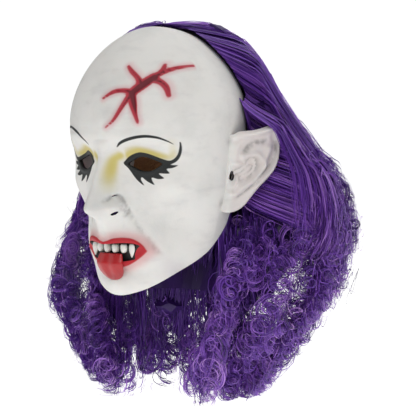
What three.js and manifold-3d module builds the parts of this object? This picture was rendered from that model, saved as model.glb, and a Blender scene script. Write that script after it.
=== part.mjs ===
// A vampire elf mask of cast latex with a curly wig: a hollow face with pointed ears, six teeth and a tongue,
// and a black net cap that carries the hair. Millimetres, +X the wearer's left, +Y the back of the head, +Z up.
// The origin is inside the crown, where the top of the wearer's head sits. "Drop" is a distance below it.
import * as THREE from "three";
import { mergeVertices } from "three/addons/utils/BufferGeometryUtils.js";
import Module from "manifold-3d";

const wasm = await Module();
wasm.setup();

// Head form, inside the latex
const crownToChin = 245.5;
const headHalfWidth = 75.5;
const headFront = 88;
const headBack = 97.5;
const domeDrop = 86;
const domeFullness = 1.8;
const domeBackFullness = 2.3;
const backSquareness = 0.85;
const latexWall = 2.5;
const pieceClearance = 0.4;

// Eyes, nose and mouth
const eyeSpread = 31;
const eyeDrop = 120.5;
const eyeWidth = 26.5;
const eyeHeight = 13.4;
const noseOut = 33;
const noseHalfWidth = 12;
const noseHollow = 0.8;
const nostrilSpread = 9.5;
const nostrilDrop = 162;
const nostrilRadius = 2.6;
const mouthHalfWidth = 31;
const mouthDrop = 198;
const mouthHeight = 19;
const mouthFloor = 67.5;
const lipOut = 3.2;

// Ears
const earHeight = 79;
const earWidth = 61;
const earThickness = 5;
const earDrop = 131;
const earFlare = THREE.MathUtils.degToRad(36);
const earSetBack = 4;
const earLean = THREE.MathUtils.degToRad(4);
const earHoleWidth = 6;
const earHoleHeight = 9;

// Teeth and tongue
const toothWidth = 6.4;
const toothGap = 2;
const incisorLength = 8;
const fangLength = 12;
const toothArcRadius = 32.5;
const toothFront = 77.5;
const toothTop = mouthDrop - 0.27 * mouthHeight;
const tongueHalfWidth = 14.5;
const tongueThickness = 9;
const tongueLength = 26;

// Wig
const capWall = 2;
const hairHalfWidth = 165;
const hairDepth = 98;
const hairCrownRise = 15;
const hairLength = 347;
const hairBandDepth = 2;
const hairBandCount = 14;
const neckHalfWidth = 62;
const neckBack = 74;
const curlRadius = 19;
const curlSwing = 7;
const curlPitch = 66;
const curlCount = 8;

// Mesh steps
const faceStepAngle = 0.068;
const sideStepAngle = 0.17;
const backStepAngle = 0.4;
const faceRowStep = 6.1;
const domeRows = 8;

// Horizontal sections of the head below its widest one, as shares of the head form's sizes; narrows is how much the face
// is drawn in beside an ellipse
const headSections = [
  { at: 0.345, side: 1.0, front: 1.0, back: 1.0, narrows: 0.15 },
  { at: 0.403, side: 0.994, front: 0.975, back: 1.01, narrows: 0.15 },
  { at: 0.464, side: 0.987, front: 0.905, back: 1.01, narrows: 0.17 },
  { at: 0.528, side: 0.974, front: 0.885, back: 0.99, narrows: 0.24 },
  { at: 0.645, side: 0.93, front: 0.88, back: 0.91, narrows: 0.42 },
  { at: 0.706, side: 0.885, front: 0.88, back: 0.86, narrows: 0.42 },
  { at: 0.766, side: 0.835, front: 0.865, back: 0.8, narrows: 0.35 },
  { at: 0.827, side: 0.775, front: 0.82, back: 0.76, narrows: 0.28 },
  { at: 0.887, side: 0.705, front: 0.755, back: 0.74, narrows: 0.22 },
  { at: 0.948, side: 0.61, front: 0.715, back: 0.72, narrows: 0.15 },
  { at: 0.984, side: 0.48, front: 0.65, back: 0.6, narrows: 0.1 },
  { at: 1.0, side: 0.32, front: 0.53, back: 0.4, narrows: 0.0 },
];

// Rounded forms of the face. Place and spread are shares of crownToChin and headHalfWidth, out is a share of headFront
const faceForms = [
  { form: "glabella", at: 0.383, across: 0, tall: 0.044, wide: 0.19, out: 0.018 },
  { form: "brow", at: 0.398, across: 0.44, tall: 0.03, wide: 0.26, out: 0.034 },
  { form: "eye socket", at: 0.464, across: 0.43, tall: 0.05, wide: 0.22, out: -0.1 },
  { form: "cheekbone", at: 0.577, across: 0.66, tall: 0.062, wide: 0.2, out: 0.05 },
  { form: "cheek hollow", at: 0.725, across: 0.68, tall: 0.065, wide: 0.17, out: -0.035 },
  { form: "nose wing", at: 0.645, across: 0.185, tall: 0.024, wide: 0.068, out: 0.09 },
  { form: "muzzle", at: 0.758, across: 0, tall: 0.08, wide: 0.35, out: 0.062 },
  { form: "chin groove", at: 0.89, across: 0, tall: 0.02, wide: 0.26, out: -0.03 },
  { form: "chin", at: 0.95, across: 0, tall: 0.042, wide: 0.2, out: 0.046 },
];

// The nose from its root to the lip: out is a share of noseOut, wide a share of noseHalfWidth
const noseSections = [
  { at: 0.4, out: 0.0, wide: 0.62 },
  { at: 0.425, out: 0.12, wide: 0.62 },
  { at: 0.464, out: 0.25, wide: 0.58 },
  { at: 0.528, out: 0.53, wide: 0.6 },
  { at: 0.59, out: 0.79, wide: 0.74 },
  { at: 0.635, out: 0.99, wide: 0.95 },
  { at: 0.655, out: 0.97, wide: 1.02 },
  { at: 0.672, out: 0.72, wide: 1.05 },
  { at: 0.69, out: 0.38, wide: 1.0 },
  { at: 0.72, out: 0.16, wide: 0.8 },
  { at: 0.76, out: 0.0, wide: 0.7 },
];

// Lip lines from the middle to the corner: across is a share of mouthHalfWidth, up a share of mouthHeight from mouthDrop
const lipLines = [
  { across: 0.0, upperLip: 0.42, upperEdge: 0.3, lowerEdge: -0.62, lowerLip: -0.92 },
  { across: 0.5, upperLip: 0.58, upperEdge: 0.36, lowerEdge: -0.54, lowerLip: -0.82 },
  { across: 0.8, upperLip: 0.48, upperEdge: 0.28, lowerEdge: -0.38, lowerLip: -0.56 },
  { across: 1.0, upperLip: 0.05, upperEdge: 0.0, lowerEdge: -0.02, lowerLip: -0.1 },
];

// The tongue from its root to its tip: down is a share of tongueLength, lift of tongueThickness from the lips' surface
const tongueSections = [
  { down: 0.0, lift: -0.75, width: 0.8, thick: 0.6 },
  { down: 0.16, lift: -0.35, width: 0.92, thick: 0.85 },
  { down: 0.34, lift: 0.0, width: 1.0, thick: 1.0 },
  { down: 0.6, lift: 0.2, width: 0.96, thick: 1.0 },
  { down: 0.84, lift: 0.32, width: 0.76, thick: 0.85 },
  { down: 0.97, lift: 0.36, width: 0.42, thick: 0.55 },
];

// Outline of the ear from its root round the tip to the lobe: shares of earWidth and earHeight from the ear hole
const earOutline = [
  { place: "top root", back: 0.0, up: 0.43 },
  { place: "top edge", back: 0.33, up: 0.515 },
  { place: "below the tip", back: 0.58, up: 0.545 },
  { place: "tip", back: 0.715, up: 0.575 },
  { place: "behind the tip", back: 0.775, up: 0.45 },
  { place: "rear", back: 0.79, up: 0.3 },
  { place: "lower rear", back: 0.72, up: 0.07 },
  { place: "rear of the lobe", back: 0.5, up: -0.135 },
  { place: "lobe", back: 0.22, up: -0.28 },
  { place: "lobe bottom", back: -0.02, up: -0.42 },
  { place: "lobe front", back: -0.19, up: -0.34 },
  { place: "tragus", back: -0.1, up: -0.05 },
  { place: "front root", back: -0.06, up: 0.22 },
];

// Side view of the latex edge under the hair and along the jaw: back and drop are shares of headBack and crownToChin
const latexEdge = [
  { back: 0.55, drop: -0.1 },
  { back: 0.56, drop: 0.0 },
  { back: 0.6, drop: 0.12 },
  { back: 0.68, drop: 0.2 },
  { back: 0.72, drop: 0.26 },
  { back: 0.68, drop: 0.34 },
  { back: 0.63, drop: 0.53 },
  { back: 0.48, drop: 0.64 },
  { back: 0.26, drop: 0.685 },
  { back: 0.19, drop: 0.745 },
  { back: -0.03, drop: 0.83 },
  { back: -0.34, drop: 0.905 },
  { back: -0.52, drop: 0.955 },
  { back: -0.66, drop: 1.0 },
  { back: -0.69, drop: 1.1 },
];

// Side view of the hairline down to the corner behind the ear lobe, in the same shares
const hairline = [
  { back: 0.38, drop: -0.12 },
  { back: 0.39, drop: 0.0 },
  { back: 0.43, drop: 0.1 },
  { back: 0.5, drop: 0.19 },
  { back: 0.57, drop: 0.245 },
  { back: 0.42, drop: 0.28 },
  { back: 0.52, drop: 0.33 },
  { back: 0.45, drop: 0.53 },
  { back: 0.31, drop: 0.675 },
];
const napeDrop = 0.7 * crownToChin;

// Side view of the front of the hair, in the same shares
const hairFront = [
  { back: 0.38, drop: -0.2 },
  { back: 0.39, drop: 0.0 },
  { back: 0.44, drop: 0.1 },
  { back: 0.5, drop: 0.19 },
  { back: 0.57, drop: 0.245 },
  { back: 0.38, drop: 0.285 },
  { back: 0.52, drop: 0.315 },
  { back: 0.54, drop: 0.38 },
  { back: 0.54, drop: 0.62 },
  { back: 0.42, drop: 0.7 },
  { back: 0.2, drop: 0.78 },
  { back: 0.08, drop: 0.9 },
  { back: 0.0, drop: 1.1 },
  { back: 0.0, drop: 1.6 },
];

// Outer form of the hair at each height, at a share of hairLength: side is a share of hairHalfWidth, right the share
// of that on the wearer's right, deep and centre are shares of hairDepth
const hairSections = [
  { at: -0.03, side: 0.22, right: 1.0, deep: 0.34, centre: 0.33 },
  { at: 0.0, side: 0.33, right: 1.0, deep: 0.49, centre: 0.41 },
  { at: 0.032, side: 0.415, right: 1.0, deep: 0.61, centre: 0.45 },
  { at: 0.087, side: 0.495, right: 0.97, deep: 0.755, centre: 0.51 },
  { at: 0.18, side: 0.59, right: 0.92, deep: 0.88, centre: 0.57 },
  { at: 0.256, side: 0.69, right: 0.88, deep: 0.94, centre: 0.63 },
  { at: 0.326, side: 0.79, right: 0.88, deep: 0.98, centre: 0.69 },
  { at: 0.4, side: 0.91, right: 0.88, deep: 1.0, centre: 0.78 },
  { at: 0.54, side: 1.0, right: 0.9, deep: 1.0, centre: 0.9 },
  { at: 0.625, side: 0.97, right: 0.96, deep: 0.96, centre: 0.86 },
  { at: 0.71, side: 0.92, right: 1.06, deep: 0.9, centre: 0.8 },
  { at: 0.775, side: 0.845, right: 1.12, deep: 0.82, centre: 0.71 },
  { at: 0.827, side: 0.77, right: 1.15, deep: 0.735, centre: 0.65 },
  { at: 0.893, side: 0.67, right: 1.18, deep: 0.65, centre: 0.59 },
  { at: 1.0, side: 0.5, right: 1.25, deep: 0.5, centre: 0.53 },
];

const latexWhite = new THREE.MeshStandardMaterial({ color: 0xe3e0da, roughness: 0.55 });
const toothWhite = new THREE.MeshStandardMaterial({ color: 0xf2f1ec, roughness: 0.35 });
const tongueRed = new THREE.MeshStandardMaterial({ color: 0xb81c22, roughness: 0.35 });
const netBlack = new THREE.MeshStandardMaterial({ color: 0x101012, roughness: 0.9 });
const hairPurple = new THREE.MeshStandardMaterial({ color: 0x5a3296, roughness: 0.45 });

// Value of one column of a table at a place, on a smooth curve through the rows
function along(rows, key, column, place) {
  const last = rows.length - 1;
  if (place <= rows[0][key]) return rows[0][column];
  if (place >= rows[last][key]) return rows[last][column];
  const i = rows.findIndex((row) => row[key] > place) - 1;
  const slope = (k) => {
    const before = rows[Math.max(0, k - 1)];
    const after = rows[Math.min(last, k + 1)];
    return (after[column] - before[column]) / (after[key] - before[key]);
  };
  const span = rows[i + 1][key] - rows[i][key];
  const t = (place - rows[i][key]) / span;
  const from = rows[i][column] * (1 + 2 * t) * (1 - t) ** 2;
  const to = rows[i + 1][column] * t * t * (3 - 2 * t);
  return from + to + span * (slope(i) * t * (1 - t) ** 2 - slope(i + 1) * t * t * (1 - t));
}

const bell = (x, spread, power = 2) => Math.exp(-(Math.abs(x / spread) ** power));

// Half widths of the head form at a drop, grown outwards by a distance
function headSection(drop, grow) {
  const reach = Math.min(1, Math.max(0, (domeDrop - drop) / (domeDrop + grow)));
  const dome = (fullness) => (1 - reach ** fullness) ** (1 / fullness);
  const at = drop / crownToChin;
  return {
    side: dome(domeFullness) * (headHalfWidth * along(headSections, "at", "side", at) + grow),
    front: dome(domeFullness) * (headFront * along(headSections, "at", "front", at) + grow),
    back: dome(domeBackFullness) * (headBack * along(headSections, "at", "back", at) + grow),
  };
}

// Point of the head form at a drop and an angle from straight ahead; the front half narrows like an egg
function headPoint(drop, angle, grow) {
  const section = headSection(drop, grow);
  const [across, ahead] = [Math.sin(angle), Math.cos(angle)];
  const isFace = ahead > 0;
  const power = isFace ? 1 + along(headSections, "at", "narrows", drop / crownToChin) : backSquareness;
  const x = section.side * Math.sign(across) * Math.abs(across) ** power;
  const y = isFace ? -section.front * ahead ** power : section.back * (-ahead) ** power;
  return new THREE.Vector3(x, y, -drop);
}

// How far the lips stand out at a place on the face
function lipRelief(x, drop) {
  const across = Math.min(1, Math.abs(x) / mouthHalfWidth);
  const fade = bell(x, mouthHalfWidth * 1.02, 6);
  const band = (lip, edge) => {
    const middle = (along(lipLines, "across", lip, across) + along(lipLines, "across", edge, across)) / 2;
    return bell(mouthDrop - drop - middle * mouthHeight, mouthHeight * 0.26);
  };
  return lipOut * fade * (band("upperLip", "upperEdge") + band("lowerLip", "lowerEdge"));
}

// How far the face stands out from the head form; the inner side has a smaller nose and no lips or wings
function faceRelief(x, drop, inner) {
  const at = drop / crownToChin;
  const size = inner ? noseHollow : 1;
  let out = size * noseOut * along(noseSections, "at", "out", at);
  out *= bell(x, size * noseHalfWidth * along(noseSections, "at", "wide", at), 2.4);
  for (const form of faceForms) {
    if (inner && form.form === "nose wing") continue;
    const height = bell(at - form.at, form.tall);
    const width = bell(Math.abs(x) / headHalfWidth - form.across, form.wide);
    out += headFront * form.out * height * width;
  }
  if (!inner) return out + lipRelief(x, drop);
  const pocketDepth = headFront * 0.935 - mouthFloor + latexWall;
  const pocketHeight = bell(drop - mouthDrop, mouthHeight * 1.1, 4);
  return out - pocketDepth * bell(x, mouthHalfWidth * 1.05, 4) * pocketHeight;
}

function facePoint(drop, angle, grow, inner) {
  const point = headPoint(drop, angle, grow);
  if (point.y >= 0) return point;
  const sideways = THREE.MathUtils.smoothstep(Math.abs(point.x), headHalfWidth * 0.3, headHalfWidth * 0.8);
  const away = new THREE.Vector3(point.x * sideways, point.y, 0).normalize();
  const ahead = THREE.MathUtils.smoothstep(-point.y, 0, headFront * 0.35);
  return point.addScaledVector(away, ahead * faceRelief(point.x, drop, inner));
}

// Closed surface through rings of points, with a point at each end
function loft(rings, first, last) {
  const count = rings[0].length;
  const points = [first, ...rings.flat(), last];
  const index = [];
  for (let k = 0; k < count; k++) {
    const next = (k + 1) % count;
    index.push(0, 1 + k, 1 + next);
    for (let r = 0; r + 1 < rings.length; r++) {
      const a = 1 + r * count;
      const b = a + count;
      index.push(a + k, b + k, b + next, a + k, b + next, a + next);
    }
    const end = 1 + (rings.length - 1) * count;
    index.push(end + k, points.length - 1, end + next);
  }
  const geometry = new THREE.BufferGeometry().setFromPoints(points);
  geometry.setIndex(index);
  return geometry;
}

const middleOf = (ring) => ring.reduce((sum, p) => sum.add(p), new THREE.Vector3()).divideScalar(ring.length);
const closedLoft = (rings) => loft(rings, middleOf(rings[0]), middleOf(rings.at(-1)));

// Solid for cutting and joining, with its faces turned outwards
function solid(geometry) {
  const bare = new THREE.BufferGeometry().setAttribute("position", geometry.getAttribute("position"));
  bare.setIndex(geometry.index);
  const merged = mergeVertices(bare, 1e-4);
  const triVerts = new Uint32Array(merged.index.array);
  const build = () => new wasm.Manifold(
    new wasm.Mesh({ numProp: 3, vertProperties: merged.attributes.position.array, triVerts }),
  );
  const made = build();
  if (made.volume() > 0) return made;
  for (let i = 0; i < triVerts.length; i += 3) triVerts.subarray(i + 1, i + 3).reverse();
  return build();
}

const joined = (solids) => solids.reduce((whole, piece) => whole.add(piece));

function namedMesh(name, made, material) {
  const { vertProperties, triVerts } = made.getMesh();
  const geometry = new THREE.BufferGeometry();
  geometry.setAttribute("position", new THREE.BufferAttribute(vertProperties, 3));
  geometry.setIndex(new THREE.BufferAttribute(triVerts, 1));
  geometry.computeVertexNormals();
  const mesh = new THREE.Mesh(geometry, material);
  mesh.name = name;
  return mesh;
}

// Angles round the head: close together over the face, wide apart behind
function ringAngles(spacing) {
  const half = [0];
  while (half.at(-1) < Math.PI - backStepAngle * spacing * 0.6) {
    const angle = half.at(-1);
    const step = angle < 0.8 ? faceStepAngle : angle < 1.9 ? sideStepAngle : backStepAngle;
    half.push(angle + step * spacing);
  }
  return [...half, Math.PI, ...half.slice(1).reverse().map((angle) => -angle)];
}

function ringDrops(grow, spacing) {
  const rows = Math.round(domeRows / spacing);
  const dome = Array.from({ length: rows }, (_, k) => {
    const turn = ((k + 1) / rows) * (Math.PI / 2);
    return domeDrop - (domeDrop + grow) * Math.cos(turn);
  });
  const end = crownToChin * 0.984;
  const below = Math.round((end - domeDrop) / (faceRowStep * spacing));
  const face = Array.from({ length: below }, (_, k) => domeDrop + ((k + 1) / below) * (end - domeDrop));
  return [...dome, ...face, crownToChin + grow];
}

function headSolid(grow, spacing, pointAt) {
  const angles = ringAngles(spacing);
  const rings = ringDrops(grow, spacing).map((drop) => angles.map((angle) => pointAt(drop, angle)));
  const top = new THREE.Vector3(0, 0, grow);
  return solid(loft(rings, top, middleOf(rings.at(-1))));
}

const plainHead = (grow) => headSolid(grow, 1, (drop, angle) => headPoint(drop, angle, grow));

// Everything on one side of a side-view line, as a slab right across the head
function sideSlab(points) {
  const shape = new THREE.Shape(points.map(([back, drop]) => new THREE.Vector2(back, -drop)));
  const width = 2 * (hairHalfWidth + headHalfWidth);
  const slab = new THREE.ExtrudeGeometry(shape, { depth: width, bevelEnabled: false });
  slab.translate(0, 0, -width / 2);
  slab.applyMatrix4(new THREE.Matrix4().makeBasis(
    new THREE.Vector3(0, 1, 0), new THREE.Vector3(0, 0, 1), new THREE.Vector3(1, 0, 0),
  ));
  return solid(slab);
}

const sideLine = (rows) => rows.map((row) => [row.back * headBack, row.drop * crownToChin]);
const farBack = 3 * headBack;
const farDown = 2 * crownToChin;

// Plug through the face: an outline in front view, from one depth to another
function frontPlug(outline, fromDepth, toDepth) {
  const shape = new THREE.Shape(outline.map((p) => new THREE.Vector2(p.x, p.y)));
  const plug = new THREE.ExtrudeGeometry(shape, { depth: toDepth - fromDepth, bevelEnabled: false });
  plug.translate(0, 0, fromDepth).rotateX(Math.PI / 2);
  return solid(plug);
}

function eyePlug(side) {
  const inner = -0.5 * eyeWidth;
  const almond = new THREE.CatmullRomCurve3([
    new THREE.Vector3(inner, -0.02 * eyeHeight, 0),
    new THREE.Vector3(inner * 0.55, 0.36 * eyeHeight, 0),
    new THREE.Vector3(-inner * 0.05, 0.5 * eyeHeight, 0),
    new THREE.Vector3(-inner * 0.6, 0.3 * eyeHeight, 0),
    new THREE.Vector3(-inner, 0.08 * eyeHeight, 0),
    new THREE.Vector3(-inner * 0.5, -0.38 * eyeHeight, 0),
    new THREE.Vector3(inner * 0.05, -0.5 * eyeHeight, 0),
    new THREE.Vector3(inner * 0.6, -0.34 * eyeHeight, 0),
  ], true);
  const outline = almond.getPoints(20).slice(0, -1);
  outline.forEach((p) => p.set(side * (eyeSpread + p.x), p.y - eyeDrop, 0));
  return frontPlug(outline, headFront * 0.3, headFront * 1.3);
}

// Front-view outline of the mouth opening, made smaller or larger by a margin
function mouthOutline(margin) {
  const stations = Array.from({ length: 13 }, (_, k) => k / 6 - 1);
  const edge = (t, column, sign) => {
    const up = along(lipLines, "across", column, Math.abs(t)) * mouthHeight;
    return new THREE.Vector2(t * (mouthHalfWidth + margin), up + sign * margin - mouthDrop);
  };
  const upper = stations.map((t) => edge(t, "upperEdge", 1));
  const lower = stations.slice(1, -1).reverse().map((t) => edge(t, "lowerEdge", -1));
  return [...upper, ...lower];
}

const mouthPlug = (margin) => frontPlug(mouthOutline(margin), mouthFloor + Math.max(0, -margin), headFront * 1.4);

// The ear stands on the side of the head, flared outwards and leaning back
function earPlace(side, back, up, out) {
  const rootSide = headSection(earDrop, latexWall).side;
  const p = new THREE.Vector3(out, back, up);
  p.applyAxisAngle(new THREE.Vector3(1, 0, 0), -earLean);
  p.applyAxisAngle(new THREE.Vector3(0, 0, 1), -earFlare);
  return new THREE.Vector3(side * (rootSide - 1 + p.x), p.y + earSetBack, p.z - earDrop);
}

// How far the ear's outer face stands out: a raised rim, a bowl round the ear hole and the fold between them
function earRelief(share, back, up) {
  const rim = 0.75 * bell(share - 0.9, 0.13) - 0.35 * bell(share - 0.68, 0.14);
  const bowl = -0.9 * bell(back / earWidth - 0.2, 0.17) * bell(up / earHeight + 0.02, 0.13);
  return earThickness * (0.3 + rim + bowl);
}

function earSolid(side) {
  const curve = new THREE.CatmullRomCurve3(
    earOutline.map((row) => new THREE.Vector3(row.back * earWidth, row.up * earHeight, 0)), true,
  );
  const rim = curve.getPoints(20).slice(0, -1);
  const centre = new THREE.Vector3(0.3 * earWidth, 0.1 * earHeight, 0);
  const ring = (share, front) => rim.map((edge) => {
    const p = centre.clone().lerp(edge, share);
    const body = Math.sqrt(Math.max(0, 1 - share ** 4));
    const out = front ? earRelief(share, p.x, p.y) : -earThickness * (0.5 + 0.5 * body);
    return earPlace(side, p.x, p.y, out);
  });
  const rings = [0.3, 0.55, 0.72, 0.86, 0.96].map((share) => ring(share, true));
  rings.push(...[1, 0.7, 0.35].map((share) => ring(share, false)));
  const front = earPlace(side, centre.x, centre.y, earRelief(0, centre.x, centre.y));
  return solid(loft(rings, front, middleOf(rings.at(-1))));
}

function earHolePlug(side) {
  const plug = new THREE.CylinderGeometry(earHoleWidth / 2, earHoleWidth / 2, headHalfWidth, 12);
  plug.rotateZ(Math.PI / 2).scale(1, 1, earHoleHeight / earHoleWidth);
  plug.translate(side * headHalfWidth, earSetBack, -earDrop);
  return solid(plug);
}

function nostrilPlug(side) {
  const plug = new THREE.CylinderGeometry(nostrilRadius, nostrilRadius, noseOut * 0.7, 10);
  plug.rotateX(Math.PI / 2 + 0.35);
  plug.translate(side * nostrilSpread, -(headFront * 0.885 + noseOut * 0.22), -nostrilDrop);
  return solid(plug);
}

// A tooth stands on the floor of the mouth and reaches forward to the curve of the bite
function toothSolid(side, place) {
  const isFang = place === 2;
  const angle = ((place + 0.5) * (toothWidth + toothGap)) / toothArcRadius;
  const length = isFang ? fangLength : incisorLength;
  const front = toothFront - toothArcRadius * (1 - Math.cos(angle));
  const back = mouthFloor + pieceClearance;
  const outline = [[0.6, 0], [0.95, 0.22], [1, 0.5], [isFang ? 0.62 : 0.9, 0.75], [isFang ? 0.2 : 0.45, 1]];
  const rings = outline.map(([width, down]) => Array.from({ length: 10 }, (_, k) => {
    const turn = (k / 10) * 2 * Math.PI;
    const x = (Math.sin(turn) * width * toothWidth) / 2;
    const depth = back + (front - back) * (0.5 + 0.5 * Math.cos(turn) * (0.6 + 0.4 * width));
    return new THREE.Vector3(side * toothArcRadius * Math.sin(angle) + x, -depth, -toothTop - down * length);
  }));
  return solid(closedLoft(rings));
}

// The tongue lies out over the lower lip, hollowed along its middle
function tongueLoft() {
  const root = toothTop + incisorLength + 2 * pieceClearance;
  return closedLoft(tongueSections.map(({ down, lift, width, thick }) => {
    const drop = root + down * tongueLength;
    const middle = -facePoint(drop, 0, latexWall, false).y + lift * tongueThickness;
    return Array.from({ length: 16 }, (_, k) => {
      const turn = (k / 16) * 2 * Math.PI;
      const groove = Math.cos(turn) > 0 ? 0.16 * bell(Math.sin(turn), 0.35) : 0;
      const depth = middle + (tongueThickness / 2) * thick * (1 - groove) * Math.cos(turn);
      return new THREE.Vector3(width * tongueHalfWidth * Math.sin(turn), -depth, -drop);
    });
  }));
}

// Point of the hair's outer form at a drop and an angle from straight ahead, the wearer's left positive
function hairPoint(drop, turn, inset) {
  const at = drop / hairLength;
  const share = Math.sin(turn) < 0 ? along(hairSections, "at", "right", at) : 1;
  const side = along(hairSections, "at", "side", at) * hairHalfWidth * share - inset;
  const deep = along(hairSections, "at", "deep", at) * hairDepth - inset;
  const centre = along(hairSections, "at", "centre", at) * hairDepth;
  return new THREE.Vector3(side * Math.sin(turn), centre - deep * Math.cos(turn), -drop);
}

// A hanging curl: a fat corkscrew with a round end, lying along the outer form of the hair
function curlSolid(turn, startDrop, endDrop, fat) {
  const stations = 10;
  const radius = fat * curlRadius;
  return solid(closedLoft(Array.from({ length: stations }, (_, k) => {
    const share = k / (stations - 1);
    const drop = startDrop + share * (endDrop - startDrop);
    const wind = (2 * Math.PI * drop) / curlPitch + 2.3 * turn;
    const swing = curlSwing * Math.min(1, share * 3);
    const centre = hairPoint(drop, turn, radius + curlSwing);
    centre.x += swing * Math.cos(wind);
    centre.y += swing * Math.sin(wind);
    const round = Math.sqrt(Math.max(0.04, 1 - Math.max(0, (share - 0.86) / 0.14) ** 2));
    const slim = 0.55 + 0.45 * Math.min(1, share * 2.5);
    return Array.from({ length: 6 }, (_, j) => {
      const a = (j / 6) * 2 * Math.PI;
      const r = radius * slim * round;
      return new THREE.Vector3(centre.x + r * Math.cos(a), centre.y + r * Math.sin(a), -drop);
    });
  })));
}

// The body of the hair, in shallow bands over the crown and drawn in behind the curls below
function hairBody() {
  const count = hairBandCount * 4;
  const last = 0.84 * hairLength;
  const drops = [0.4, 0.75, 1].map((share) => -hairCrownRise * (1 - share));
  const rows = 11;
  for (let k = 1; k <= rows; k++) drops.push((k / rows) * last);
  const rings = drops.map((drop) => Array.from({ length: count }, (_, k) => {
    const turn = (k / count) * 2 * Math.PI;
    const drawnIn = THREE.MathUtils.smoothstep(drop / hairLength, 0.25, 0.5) * curlRadius;
    const ridge = hairBandDepth * Math.cos(hairBandCount * turn);
    return hairPoint(drop, turn, drawnIn + hairBandDepth - ridge);
  }));
  const top = middleOf(rings[0]).setZ(hairCrownRise);
  return solid(loft(rings, top, middleOf(rings.at(-1))));
}

// Room for the neck, open to the front and below
function neckSpace() {
  const front = -2 * headFront;
  const shape = new THREE.Shape();
  shape.moveTo(-neckHalfWidth, front);
  shape.lineTo(neckHalfWidth, front);
  shape.lineTo(neckHalfWidth, neckBack - neckHalfWidth);
  shape.absarc(0, neckBack - neckHalfWidth, neckHalfWidth, 0, Math.PI, false);
  const room = new THREE.ExtrudeGeometry(shape, { depth: 2 * hairLength, bevelEnabled: false, curveSegments: 9 });
  room.translate(0, 0, -2 * hairLength - napeDrop * 0.9);
  return solid(room);
}

const sides = [1, -1];
const latexOuter = headSolid(latexWall, 1, (drop, angle) => facePoint(drop, angle, latexWall, false));
const latexInner = headSolid(0, 1.7, (drop, angle) => facePoint(drop, angle, 0, true));
const behindLatex = sideSlab([...sideLine(latexEdge), [-headFront * 0.72, farDown], [farBack, farDown], [farBack, -farDown / 4]]);

function faceShell() {
  const holes = joined(sides.flatMap((side) => [eyePlug(side), nostrilPlug(side), earHolePlug(side)]));
  return joined([latexOuter, ...sides.map(earSolid)])
    .subtract(latexInner)
    .subtract(behindLatex)
    .subtract(mouthPlug(0))
    .subtract(holes);
}

// Slab that holds what lies behind the hairline and above the nape
function behindHairline() {
  const line = sideLine(hairline);
  return sideSlab([...line, [farBack, napeDrop], [farBack, line[0][1]]]);
}

function wigCap() {
  const seat = latexWall + pieceClearance;
  return plainHead(seat + capWall).subtract(plainHead(seat)).intersect(behindHairline());
}

function hairSolid() {
  const curls = Array.from({ length: curlCount }, (_, k) => {
    const turn = 1.15 + ((k + 0.5) / curlCount) * (Math.PI - 1.15);
    const low = hairLength * (1 - 0.06 * (k % 3));
    const start = hairLength * (k % 2 ? 0.3 : 0.38);
    return sides.map((side) => curlSolid(side * turn, start, low * (k % 2 ? 0.84 : 1), k % 2 ? 1.15 : 1));
  });
  const line = sideLine(hairFront);
  const behindFront = sideSlab([...line, [farBack, line.at(-1)[1]], [farBack, line[0][1]]]);
  return joined([hairBody(), ...curls.flat()])
    .intersect(behindFront)
    .subtract(plainHead(latexWall + capWall + 2 * pieceClearance))
    .subtract(neckSpace());
}

const mask = new THREE.Group();
const shell = faceShell();
mask.add(namedMesh("face_shell", shell, latexWhite));

const lipSeat = headSolid(latexWall + pieceClearance, 1, (drop, angle) =>
  facePoint(drop, angle, latexWall + pieceClearance, false));
const tongue = solid(tongueLoft()).subtract(lipSeat.subtract(mouthPlug(-pieceClearance)));
mask.add(namedMesh("tongue", tongue, tongueRed));

for (const side of sides) {
  const hand = side > 0 ? "left" : "right";
  mask.add(namedMesh(`central_incisor_${hand}`, toothSolid(side, 0), toothWhite));
  mask.add(namedMesh(`lateral_incisor_${hand}`, toothSolid(side, 1), toothWhite));
  mask.add(namedMesh(`fang_${hand}`, toothSolid(side, 2), toothWhite));
}

mask.add(namedMesh("wig_cap", wigCap(), netBlack));
mask.add(namedMesh("hair", hairSolid(), hairPurple));

export default mask;
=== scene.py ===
import math

import bpy
import numpy as np
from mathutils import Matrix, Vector


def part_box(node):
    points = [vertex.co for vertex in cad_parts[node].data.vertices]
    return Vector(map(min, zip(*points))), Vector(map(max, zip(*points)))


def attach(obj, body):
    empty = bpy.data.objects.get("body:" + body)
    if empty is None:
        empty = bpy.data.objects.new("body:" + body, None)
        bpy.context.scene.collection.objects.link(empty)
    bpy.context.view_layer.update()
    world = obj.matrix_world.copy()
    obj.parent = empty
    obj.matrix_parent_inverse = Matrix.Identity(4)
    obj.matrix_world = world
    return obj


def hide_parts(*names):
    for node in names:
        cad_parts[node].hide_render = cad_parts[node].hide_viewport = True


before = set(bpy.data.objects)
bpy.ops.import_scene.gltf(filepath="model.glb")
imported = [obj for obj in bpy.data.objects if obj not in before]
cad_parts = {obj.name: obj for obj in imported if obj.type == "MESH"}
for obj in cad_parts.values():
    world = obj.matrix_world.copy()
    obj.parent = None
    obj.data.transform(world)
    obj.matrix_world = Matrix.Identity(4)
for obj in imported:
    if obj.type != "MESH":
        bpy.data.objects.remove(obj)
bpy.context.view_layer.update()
MM = 0.001


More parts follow.
